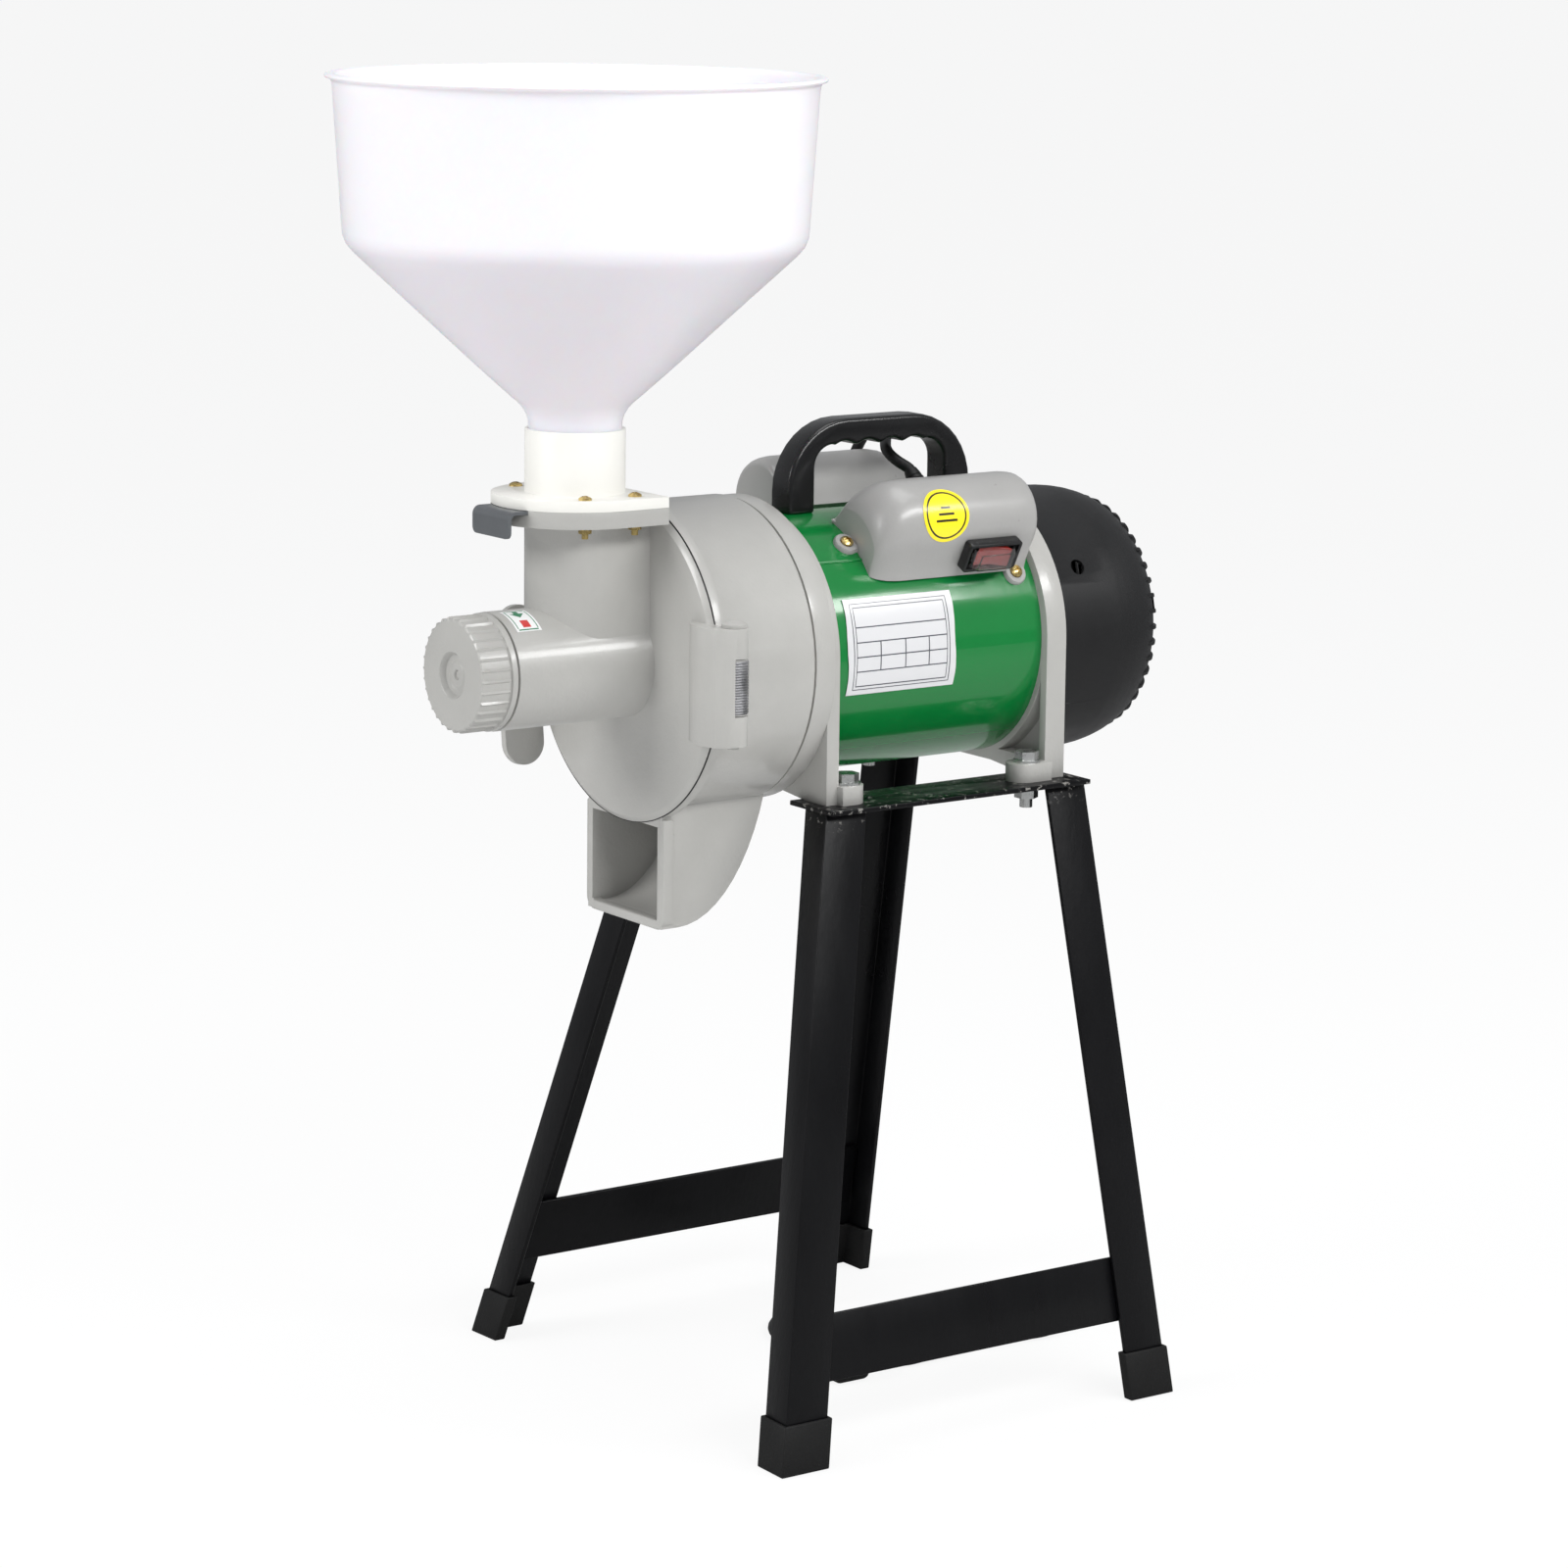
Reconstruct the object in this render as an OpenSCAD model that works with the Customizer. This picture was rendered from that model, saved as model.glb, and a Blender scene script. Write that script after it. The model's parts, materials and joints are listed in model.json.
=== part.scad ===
// Electric grain mill: a hopper-fed disc mill driven by a capacitor motor on a splayed angle-iron stand.
// X runs to the switch side, Y runs from the adjusting knob to the fan, Z is up, and the floor is z = 0.

/* [Stand] */
// Height of the rail tops above the floor
rail_top = 380; // [300:1:460]
// Length of each rail
rail_len = 198; // [180:1:220]
// Width of each rail
rail_w = 44; // [42:1:48]
// Thickness of the rails
rail_t = 3; // [2.5:0.1:4]
// Width of the side flange of a leg's angle iron
angle_w = 29.5; // [26:0.5:34]
// Width of the end flange of a leg's angle iron
angle_end_w = 22.5; // [20:0.5:34]
// Thickness of a leg's angle iron
angle_t = 3; // [2.5:0.1:4]
// Sideways splay of every leg
side_splay = 76; // [40:1:90]
// Forward splay of the front legs
front_splay = 80; // [40:1:90]
// Backward splay of the rear legs
rear_splay = 17.4; // [5:0.1:40]
// Height of a crossbar's lower edge
crossbar_z = 49.5; // [40:0.5:80]
// Width of a crossbar
crossbar_w = 40; // [30:1:50]
// Wall of the rubber foot caps
cap_wall = 2.2; // [2:0.1:4]
// Height of the rubber foot caps
cap_h = 29; // [24:1:40]

/* [Motor] */
// Height of the motor shaft above the rail tops
shaft_h = 86; // [86:0.5:92]
// Outer radius of the motor barrel
barrel_r = 80.3; // [80:0.1:82]
// Wall of the motor barrel
barrel_wall = 2; // [1.5:0.1:3]
// Length of the motor barrel
barrel_len = 158; // [154:1:164]
// Outer radius of the end bracket rims
rim_r = 86; // [85:0.2:86]
// Depth of the front bracket rim
front_rim = 9; // [8:0.2:12]
// Depth of the rear bracket rim
rear_rim = 15; // [14:0.5:18]
// Radius of the drive end of the shaft
shaft_r = 8.5; // [8:0.1:9]
// Outer radius of the fan cover
fan_cover_r = 84; // [82:0.5:85]
// Length of the fan cover without its ribs
fan_cover_len = 84; // [80:1:90]
// Count of the ribs on the fan cover's face
fan_ribs = 46; // [30:1:48]

/* [Mill] */
// Outer radius of the seam flange
seam_r = 99.5; // [98:0.5:102]
// Outer radius of the mill housing
housing_r = 94; // [92.5:0.5:96]
// Wall of the mill housing
housing_wall = 6; // [5:0.5:7]
// Depth of the mill housing from the seam to its back
housing_depth = 76; // [72:1:80]
// Depth of the mounting ring behind the housing
ring_depth = 12; // [11:0.5:14]
// Radius of the grinding discs
disc_r = 62.5; // [58:0.5:66]
// Thickness of each grinding disc
disc_t = 8; // [6:0.5:9]
// Outer radius of the feed barrel
feed_r = 35.5; // [34:0.5:37]
// Bore radius of the feed barrel
feed_bore_r = 29; // [27:0.5:29.5]
// Length of the feed barrel in front of the cover face
feed_len = 94; // [90:1:100]
// Width of the chute mouth
chute_w = 82; // [76:1:90]
// Height of the chute's lower edge below the shaft
chute_drop = 160; // [150:1:164]
// Wall of the chute
chute_wall = 4.5; // [3.5:0.5:6]
// Radius of the hinge knuckles
knuckle_r = 8.5; // [8:0.1:8.8]

/* [Feed] */
// Distance of the hopper axis in front of the seam
hopper_y = 37; // [37:0.5:40]
// Rim radius of the hopper
hopper_r = 147.4; // [140:0.2:150]
// Height of the hopper from its shoulder to its rim
hopper_wall_h = 96; // [80:1:100]
// Wall of the hopper
hopper_wall = 2.2; // [1.8:0.1:3]
// Outer radius of the hopper neck
neck_r = 27.8; // [26:0.1:28]
// Outer radius of the feed collar
collar_r = 30; // [29.8:0.1:31]
// Height of the feed collar above its flange
collar_h = 42; // [40:1:55]
// Radius of the flanges' rounded front
flange_r = 50; // [48:0.5:52]
// Radius of the intake opening
intake_r = 18; // [16:0.5:18.5]
// Width of the gate plate
gate_w = 40; // [38:0.5:44]
// Thickness of the gate plate
gate_t = 2; // [1.5:0.1:2.2]
// Radius of the adjusting knob
knob_r = 34; // [33:0.2:35]
// Length of the adjusting knob
knob_len = 24.5; // [22:0.5:28]
// Count of the ridges round the knob
knob_ridges = 32; // [24:1:40]

/* [Handle and boxes] */
// Length of the carrying handle
handle_len = 139; // [130:1:145]
// Width of the carrying handle
handle_w = 20; // [16:0.5:22]
// Height of the handle's top above the motor barrel
handle_h = 56.3; // [50:0.1:60]
// Radius of the box round the running capacitor
box_r = 26; // [25:0.5:28]
// Wall of both boxes
box_wall = 2.4; // [2:0.1:2.6]
// Length of both boxes
box_len = 117; // [112:1:126]

/* [Cord] */
// Diameter of the power cord
cord_d = 7; // [6:0.1:7]

/* [Hidden] */
$fn = 64;
cut = 1;
fit_gap = 0.1;
free_gap = 0.3;
loose_gap = 0.6;
press_gap = 0.02;
slip_gap = 0.05;

hull_fn = 32;

axis_z = rail_top + shaft_h;

// Places along the shaft, measured from the seam between cover and housing
face_t = 3;
spigot_t = 5;
lip_t = 7;
bracket_y = housing_depth + ring_depth;
barrel_y = bracket_y + front_rim;
rear_y = barrel_y + barrel_len;
fan_y = rear_y + rear_rim;
rib_h = 4;
hopper_front = -hopper_y - hopper_r;
fan_rear = fan_y + fan_cover_len + rib_h;
centre_y = (hopper_front + fan_rear) / 2;

// Stand places
rail_lead = 7;
leg_inset = 6.3;
rail_mid_x = 80;
rail_y0 = bracket_y - rail_lead;
rail_y1 = rail_y0 + rail_len;
rail_x1 = rail_mid_x + rail_w / 2;
leg_h = rail_top - rail_t;
foot_x = rail_x1 - leg_inset + side_splay;
front_foot_y = rail_y0 - front_splay;
rear_foot_y = rail_y1 + rear_splay;
lean = atan2(-side_splay, leg_h);
cap_floor = 4;

// Foot bolts
bolt_x = 82;
bolt_r = 4;
bolt_hole_r = 4.5;
bolt_af_r = 7.5;
bolt_head_h = 5.3;
bolt_tail = 17;
washer_r = 8.5;
washer_t = 1.5;
nut_h = 6.5;
foot_t = 11.5;
foot_r = 10;
front_bolt_y = bracket_y + front_rim + foot_r - cut;
rear_bolt_y = fan_y - rear_rim - foot_r - cut;
foot_reach = 4;

// Bracket sizes
rim_wall = 3.7;
web_t = 4;
arch_h = 3.5;
side_wall = 6;
spigot_len = 6;
spigot_wall = 5;
bearing_r = 20;
bearing_w = 12;
rear_bearing_r = 17.5;
rear_bearing_w = 11;
rear_shaft_r = 7.5;
fan_shaft_r = 6.5;
race_wall = 3;
hub_wall = 6;
rotor_shaft_r = 10;
tie_r = 2.5;
tie_circle = 75;
tie_head_r = 4.5;
tie_head_h = 4;

// Housing bolts
flange_bolt_r = 3;
flange_bolt_circle = 60;
flange_bolt_boss = 8;
flange_head_r = 5;
flange_head_h = 4;
flange_thread = 6;

// Cover and drive sizes
rim_chamfer = 4;
spigot_gap = 0.8;
seal_w = 4;
seal_t = 1.6;
disc_gap = 0.4;
disc_screw_circle = 46;
disc_screws = 3;
screw_r = 2;
screw_head_r = 4;
screw_head_h = 2.6;
disc_groove = 1.5;
disc_groove_w = 4;
disc_grooves = 24;
holder_t = 8;
holder_hub_r = 20;
holder_hub_len = 16;
paddles = 4;
paddle_t = 6;
paddle_reach = 20;
seal_r = 16;
seal_h = 6;
tongue_len = 12;
tongue_h = 8;
auger_r = 27;
auger_core_r = 10;
auger_turns = 2.5;
auger_blade = 5;
journal_r = 8;
journal_len = 6;
bush_r = 12;
bush_len = 7;
sleeve_travel = 3;
sleeve_t = 8;
stem_r = 15;
stem_len = 16;
stud_r = 10;
stud_len = 13;
nose_r = 31;
nose_len = 8;
knob_gap = 0.8;
knob_floor = 6.5;
knob_dish_r = 13.4;
knob_dish_h = 4;
ridge_h = 1;
guide_r = 2.5;
guide_head_r = 4.5;
guide_head_h = 3;

// Places in the feed barrel
nose_y = -face_t - feed_len;
knob_back_y = nose_y - knob_gap;
knob_front_y = knob_back_y - knob_len;
sleeve_y = nose_y + sleeve_travel - cut;
auger_y0 = sleeve_y + sleeve_t + cut;
auger_y1 = spigot_t + disc_t - cut;

// Intake flange and gate
flange_t = 10;
collar_flange_t = 6.5;
gate_gap = 0.2;
intake_h = 87;
flange_z = axis_z + intake_h;
gate_clear = 2;
gate_z = flange_z + flange_t - gate_t - gate_gap;
gate_travel = 38;
gate_front = 9;
gate_tab = 14;
gate_bend = 5;
flange_screw_x = 38;
flange_screw_dy = 17.5;
flange_nut_h = 3.2;
flange_nut_r = 3.9;
flange_back = face_t + gate_gap;

// Hopper and collar
neck_h = 45;
ledge_t = 2.5;
neck_z = flange_z + flange_t + collar_flange_t + ledge_t;
cone_z = neck_z + neck_h;
cone_h = 102;
shoulder_z = cone_z + cone_h;
hopper_top = shoulder_z + hopper_wall_h;
shoulder_r = 137.5;
rim_under = 4.4;
rim_t = 3;
neck_flare = 2.2;

// Hinge
hinge_x = 108;
hinge_y = 4;
hinge_z = axis_z - 2;
hinge_half = 35;
knuckle_half = 16.5;
pin_r = 3.5;
pin_gap = 0.06;
pin_head_r = 7.5;
pin_head_h = 4;
lug_depth = 13.5;

// Latch wing bolt
latch_x = -90;
wing_turn = -6;
latch_drop = 28;
latch_lug_r = 11;
latch_r = 4;
latch_clear = 1;
latch_reach = 12;
wing_t = 5;
wing_w = 29;
wing_half = 49.5;
wing_hub_r = 9;

// Windows behind the housing
window_bottom = 46;
ring_r = 90;
ring_bore = 80;

// Fan
fan_r = 68;
fan_blades = 8;
fan_plate_t = 3;
fan_blade_h = 20;
fan_blade_t = 2.5;
fan_hub_r = 14;
fan_hub_gap = 12;
fan_wall = 2.5;
fan_skirt = 40;
fan_face_r = 66;
fan_slot_w = 3;
fan_slots = 30;
fan_slot_in = 18;
fan_rib_w = 2.6;
fan_hole_r = 5;
fan_hole_y = 288.6;
fan_hole_tilt = 59.5;

// Boxes, centred on the capacitors inside them
near_box_x = 57;
near_box_z = 78;
far_box_x = -50;
far_box_z = 82;
near_box_y = 133;
far_box_y = 130;
near_cap_r = 15;
far_cap_r = 16;
cap_len = 80;
box_foot_r = 3;
box_screw_r = 2;
lug_r = 7;
lug_t = 3;

// Switch
bezel_len = 40;
bezel_w = 20;
bezel_h = 7;
bezel_wall = 2.2;
rocker_len = 26;
rocker_w = 13;
rocker_swing = 8;
switch_y = 214;
switch_rise = 2.5;

// Handle
handle_leg = 20;
grip_t = 15.5;
handle_corner = 44;
grip_corner = 14;
scallops = 4;
scallop_h = 4;
handle_y0 = 112;

// Gland and plug
gland_r = 7;
gland_len = 14;
plug_len = 36;
plug_half_w = 13;
plug_half_h = 11;
blade_len = 16;
blade_t = 1.6;
blade_w = 6.4;
blade_gap = 6.35;
earth_pin_r = 2.4;

// Guide screw, chute and windows
guide_angle = 40;
chute_y0 = 12;
chute_back = 81;
chute_curve_share = 0.82;
chute_top = 62;
chute_band = 8;
mouth_top = 0.985 * seam_r;

// Bearings, stator and rotor
front_bearing_y = bracket_y + web_t;
rear_bearing_y = rear_y + rear_rim - web_t - rear_bearing_w;
front_winding_room = 38;
rear_winding_room = 40;
core_y0 = barrel_y + front_winding_room;
core_y1 = rear_y - rear_winding_room;
core_r = barrel_r - barrel_wall - slip_gap;
bore_r = 48;
air_gap = 0.4;
winding_len = 20;
fan_front = fan_y + fan_hub_gap;

// Box forms
near_tilt = atan2(near_box_x, near_box_z);
far_tilt = atan2(far_box_x, far_box_z);
near_dist = norm([near_box_x, near_box_z]);
far_dist = norm([far_box_x, far_box_z]);
box_spread = 18;
far_box_len = box_len - 4 * box_wall;
front_slope = 16;
front_drop = 7;
rear_round = 9;
lug_lead = 5.5;
lug_back = 108;
lug_swing = 22.5;
fan_screw_y = 4;
rocker_h = 6.5;
boot_wall = 0.9;
boot_h = 11;
scallop_w = 22;
scallop_r = (scallop_w * scallop_w / 4 + scallop_h * scallop_h) / (2 * scallop_h);
plate_len = 82;

// Cord and hank
gland_y = 199;
cord_z = 3.6;
layer = 7.6;
hank_x = 14;
hank_y = 195;
hank_run = 105;
hank_pitch = 3.9;
hank_r = 29.3;
hank_pinch = 10;
hank_halves = 4;
hank_lead = 28;
run_rings = 6;
hank_sides = 6;
cord_sides = 8;
tie_t = 1.2;
tie_w = 12;

// Route of the cord from its gland over the far box, down the far side and along the floor
cord_route = concat(
    [
        side_point(-1, gland_y, gland_len - fit_gap), side_point(-1, gland_y, gland_len + cord_d),
        [9, 195.5, 573.5], [2, 194.5, 577], [-5, 196.5, 579.8], [-12, 201, 582], [-20, 207, 586],
        [-30, 213, 589], [-41, 218, 590.5], [-52, 222, 589], [-63, 225, 584], [-74, 227, 575],
        [-83.5, 227.5, 562], [-91, 227, 547], [-97.5, 226, 529], [-102.5, 225, 509], [-106.3, 225, 489]
    ],
    [for (z = [470:-20:50]) [-108, 225, z]],
    [
        [-107.6, 224.6, 36], [-105.5, 221.5, 23], [-101, 216, 12], [-95.5, 207.5, 6], [-89.5, 196, 3.8],
        [-83, 183, 3.6], [-74.5, 170.5, 3.6], [-63.5, 160, 3.6], [-50, 153.5, 3.6], [-36, 153.5, 3.6],
        [-24.5, 161, 3.6], [-17.5, 172.5, 3.6], [-15.3, 184, 3.6], [-15.3, 195, 3.6]
    ]
);

// Carries a piece from the working frame, whose seam plane is y = 0, to the part's own frame
module placed() translate([0, -centre_y, 0]) children();

// Turns a piece so that its z runs back along the shaft from y, and its own y points down
module along(y) translate([0, y, axis_z]) rotate([-90, 0, 0]) children();

// A ring or disc round the shaft
module ring(y0, y1, r_out, r_in = 0) {
    along(y0) difference() {
        cylinder(h = y1 - y0, r = r_out);
        if (r_in > 0) translate([0, 0, -cut]) cylinder(h = y1 - y0 + 2 * cut, r = r_in);
    }
}

// A rounded rectangle from one corner to the other
module rounded(x0, y0, x1, y1, r) {
    union() {
        translate([x0 + r, y0]) square([x1 - x0 - 2 * r, y1 - y0]);
        translate([x0, y0 + r]) square([x1 - x0, y1 - y0 - 2 * r]);
        for (x = [x0 + r, x1 - r], y = [y0 + r, y1 - r]) translate([x, y]) circle(r = r);
    }
}

// A bar of width w across X whose side view is drawn in Y and Z
module across(w) translate([-w / 2, 0, 0]) rotate([90, 0, 90]) linear_extrude(w) children();

// A pan-head screw whose head rests on z = 0 and whose shank points down
module pan_screw(r, head_r, head_h, length) {
    translate([0, 0, -length]) cylinder(h = length + cut / 2, r = r);
    difference() {
        intersection() {
            cylinder(h = head_h, r = head_r);
            translate([0, 0, head_h - head_r * 1.5]) sphere(r = head_r * 1.5);
        }
        for (a = [0, 90]) rotate(a) translate([-head_r * 0.6, -r / 4, head_h * 0.5])
            cube([head_r * 1.2, r / 2, head_h]);
    }
}

// Hopper and feed

module hopper() {
    color([0.93, 0.93, 0.94, 0.75]) placed() translate([0, -hopper_y, 0]) rotate_extrude() polygon([
        [neck_r, neck_z],
        [neck_r, cone_z - neck_flare],
        [neck_r + neck_flare, cone_z + neck_flare],
        [shoulder_r - hopper_wall, shoulder_z - hopper_wall],
        [shoulder_r, shoulder_z + hopper_wall],
        [hopper_r - rim_under, hopper_top - rim_t],
        [hopper_r - rim_t / 3, hopper_top - rim_t],
        [hopper_r, hopper_top - rim_t * 2 / 3],
        [hopper_r, hopper_top - rim_t / 3],
        [hopper_r - rim_t / 3, hopper_top],
        [hopper_r - rim_under - hopper_wall, hopper_top],
        [shoulder_r - hopper_wall, shoulder_z + hopper_wall],
        [shoulder_r - 2.5 * hopper_wall, shoulder_z - hopper_wall],
        [neck_r + neck_flare - 1.3 * hopper_wall, cone_z + neck_flare],
        [neck_r - hopper_wall, cone_z - neck_flare],
        [neck_r - hopper_wall, neck_z]
    ]);
}

// Outline of both intake flanges: round in front and straight at the back
module flange_outline() {
    intersection() {
        union() {
            circle(r = flange_r);
            translate([-flange_r, 0]) square([2 * flange_r, hopper_y]);
        }
        translate([-flange_r, -flange_r]) square([2 * flange_r, flange_r + hopper_y - flange_back]);
    }
}

module at_flange_screws() {
    for (x = [-flange_screw_x, flange_screw_x], y = [-flange_screw_dy, flange_screw_dy])
        translate([x, y]) children();
}

module feed_collar() {
    color("ivory") placed() translate([0, -hopper_y, flange_z + flange_t]) difference() {
        union() {
            linear_extrude(collar_flange_t) flange_outline();
            cylinder(h = collar_flange_t + collar_h, r = collar_r);
        }
        translate([0, 0, -cut]) cylinder(h = collar_flange_t + collar_h, r = intake_r);
        translate([0, 0, collar_flange_t + ledge_t]) cylinder(h = collar_h, r = neck_r + fit_gap);
        at_flange_screws() translate([0, 0, -cut])
            cylinder(h = collar_flange_t + 2 * cut, r = screw_r + fit_gap);
    }
}

module flange_screws() {
    color([0.82, 0.68, 0.32]) placed() translate([0, -hopper_y, flange_z + flange_t + collar_flange_t])
        at_flange_screws() pan_screw(screw_r, screw_head_r, screw_head_h, collar_flange_t + flange_t +
            2 * flange_nut_h);
}

module flange_nuts() {
    color([0.82, 0.68, 0.32]) placed() translate([0, -hopper_y, flange_z - flange_nut_h])
        at_flange_screws() difference() {
            cylinder(h = flange_nut_h, r = flange_nut_r, $fn = 6);
            translate([0, 0, -cut]) cylinder(h = flange_nut_h + 2 * cut, r = screw_r + slip_gap);
        }
}

// Side view of the gate: a flat plate whose front end bends down into a finger tab
module gate_profile() {
    front = -hopper_y - flange_r - gate_front;
    back = -hopper_y + intake_r + gate_clear;
    top = gate_z + gate_t;
    translate([front + gate_bend, gate_z]) square([back - front - gate_bend, gate_t]);
    translate([front, top - gate_tab - gate_t]) square([gate_t, gate_tab + gate_t - gate_bend]);
    translate([front + gate_bend, top - gate_bend]) difference() {
        circle(r = gate_bend);
        circle(r = gate_bend - gate_t);
        translate([0, -2 * gate_bend]) square(4 * gate_bend);
        translate([-2 * gate_bend, -4 * gate_bend]) square(4 * gate_bend);
    }
}

module gate_plate() {
    corner = gate_w / 10;
    color("dimgray") placed() intersection() {
        across(gate_w) gate_profile();
        translate([0, cut, 0]) rotate([90, 0, 0])
            linear_extrude(hopper_y + flange_r + 2 * gate_front + 2 * cut)
            rounded(-gate_w / 2, gate_z + gate_t - gate_tab - gate_t, gate_w / 2, gate_z + 2 * corner,
                corner);
    }
}

// Mill body

module front_cover() {
    throat_h = flange_z - axis_z;
    color("silver") placed() difference() {
        union() {
            along(-face_t) cylinder(h = face_t, r1 = seam_r - rim_chamfer, r2 = seam_r);
            ring(-cut, spigot_t, housing_r - housing_wall - spigot_gap);
            ring(nose_y, -face_t + cut, feed_r);
            ring(nose_y - nose_len, nose_y + cut, nose_r);
            translate([0, -hopper_y, axis_z]) {
                cylinder(h = throat_h + cut, r = collar_r);
                translate([-collar_r, 0, 0]) cube([2 * collar_r, hopper_y - cut, throat_h + cut]);
                translate([0, 0, throat_h]) linear_extrude(flange_t) flange_outline();
            }
            cover_hinge_lug();
            latch_lug(-face_t, 0);
        }
        ring(nose_y - nose_len - cut, spigot_t + cut, feed_bore_r);
        translate([0, -hopper_y, axis_z]) cylinder(h = throat_h + 2 * flange_t, r = intake_r);
        translate([-gate_w / 2 - gate_gap, -hopper_y - flange_r - cut, gate_z - gate_gap])
            cube([gate_w + 2 * gate_gap, flange_r + intake_r + gate_clear + 2 * cut, flange_t]);
        translate([0, -hopper_y, flange_z - cut]) at_flange_screws()
            cylinder(h = flange_t + 2 * cut, r = screw_r + fit_gap);
        translate([hinge_x, hinge_y, hinge_z - hinge_half - cut])
            cylinder(h = 2 * hinge_half + 2 * cut, r = pin_r + pin_gap);
        translate([hinge_x, hinge_y, hinge_z - knuckle_half - loose_gap])
            cylinder(h = 2 * knuckle_half + 2 * loose_gap, r = knuckle_r + free_gap);
        at_latch(-face_t - cut) cylinder(h = face_t + 2 * cut, r = latch_r + free_gap);
        at_disc_screws(cut / 2) cylinder(h = spigot_t + cut, r = screw_r);
        translate([0, nose_y + sleeve_t, axis_z]) rotate([0, -guide_angle, 0])
            cylinder(h = 2 * feed_r, r = guide_r + slip_gap);
    }
}

// The cover's half of the hinge: two ears round the pin and a curved block that covers the middle knuckle
module cover_hinge_lug() {
    translate([0, 0, hinge_z - hinge_half]) linear_extrude(2 * hinge_half) {
        polygon([
            [hinge_x - 4 * knuckle_r, -face_t + cut],
            [hinge_x - 4 * knuckle_r, -face_t],
            [hinge_x - 3.3 * knuckle_r, -lug_depth * 0.62],
            [hinge_x - 2.1 * knuckle_r, -lug_depth * 0.94],
            [hinge_x - 0.8 * knuckle_r, -lug_depth],
            [hinge_x + 0.3 * knuckle_r, -lug_depth * 0.8],
            [hinge_x + 0.8 * knuckle_r, -lug_depth * 0.4],
            [hinge_x + knuckle_r, hinge_y],
            [hinge_x, hinge_y],
            [hinge_x - knuckle_r, -free_gap],
            [hinge_x - 3 * knuckle_r, -free_gap]
        ]);
        translate([hinge_x, hinge_y]) circle(r = knuckle_r);
    }
}

module at_latch(y) translate([latch_x, y, axis_z - latch_drop]) rotate([-90, 0, 0]) children();

module latch_lug(y0, y1) at_latch(y0) cylinder(h = y1 - y0, r = latch_lug_r);

module cover_seal() {
    color("black") placed() ring(spigot_t - seal_w, spigot_t, housing_r - housing_wall - fit_gap,
        housing_r - housing_wall - spigot_gap + slip_gap);
}

module at_disc_screws(y) {
    for (i = [0:disc_screws - 1]) along(y) rotate(90 + i * 360 / disc_screws)
        translate([disc_screw_circle, 0, 0]) children();
}

// A grinding disc whose face, cut with slanting grooves, is at z = disc_t
module grinding_disc(bore) {
    difference() {
        cylinder(h = disc_t, r = disc_r);
        translate([0, 0, -cut]) cylinder(h = disc_t + 2 * cut, r = bore);
        for (i = [0:disc_grooves - 1]) rotate(i * 360 / disc_grooves)
            translate([disc_r * 0.62, -disc_r / 4, disc_t - disc_groove]) rotate(30)
                cube([disc_r, disc_groove_w, 2 * disc_groove]);
    }
}

module fixed_disc() {
    color("gray") placed() difference() {
        along(spigot_t) grinding_disc(feed_bore_r);
        at_disc_screws(spigot_t - cut) cylinder(h = disc_t + 2 * cut, r = screw_r + fit_gap);
        at_disc_screws(spigot_t + disc_t - disc_groove - screw_head_h)
            cylinder(h = disc_t, r = screw_head_r + fit_gap);
    }
}

module disc_screws() {
    color("silver") placed() at_disc_screws(spigot_t + disc_t - disc_groove - screw_head_h)
        pan_screw(screw_r - slip_gap, screw_head_r, screw_head_h, disc_t);
}

module auger_bar() {
    intersection() {
        circle(r = auger_r);
        square([2 * auger_r, auger_blade], center = true);
    }
}

module feed_auger() {
    blade_len = auger_y1 - auger_y0 - journal_len - tongue_len;
    color("darkgray") placed() difference() {
        union() {
            ring(auger_y0 - journal_len, auger_y1, journal_r);
            ring(auger_y0, auger_y1, auger_core_r);
            along(auger_y0 + journal_len) linear_extrude(blade_len, twist = 360 * auger_turns, slices =
                40, $fn = 16)
                auger_bar();
            ring(auger_y1 - tongue_len, auger_y1, auger_core_r + auger_blade);
        }
        translate([-auger_r, auger_y1 - tongue_len + cut, axis_z - tongue_h / 2 - loose_gap])
            cube([2 * auger_r, tongue_len, tongue_h + 2 * loose_gap]);
    }
}

module adjusting_knob() {
    color("silver") placed() difference() {
        union() {
            along(knob_front_y) cylinder(h = ridge_h, r1 = knob_r - 2 * ridge_h, r2 = knob_r - ridge_h);
            ring(knob_front_y + ridge_h, knob_back_y - ridge_h, knob_r);
            ring(knob_back_y - 2 * ridge_h, knob_back_y, knob_r + 1.3 * ridge_h);
            for (i = [0:knob_ridges - 1]) along(knob_front_y + 2 * ridge_h) rotate(i * 360 / knob_ridges)
                translate([knob_r, 0, 0]) cylinder(h = knob_len - 3 * ridge_h, r = ridge_h);
            ring(knob_front_y + ridge_h, knob_front_y + knob_floor + stud_len, stud_r);
        }
        difference() {
            ring(knob_front_y + knob_floor, knob_back_y + cut, nose_r + fit_gap);
            ring(knob_front_y, knob_front_y + knob_floor + stud_len, stud_r);
        }
        ring(knob_front_y - cut, knob_front_y + knob_dish_h, knob_dish_r);
    }
}

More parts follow.
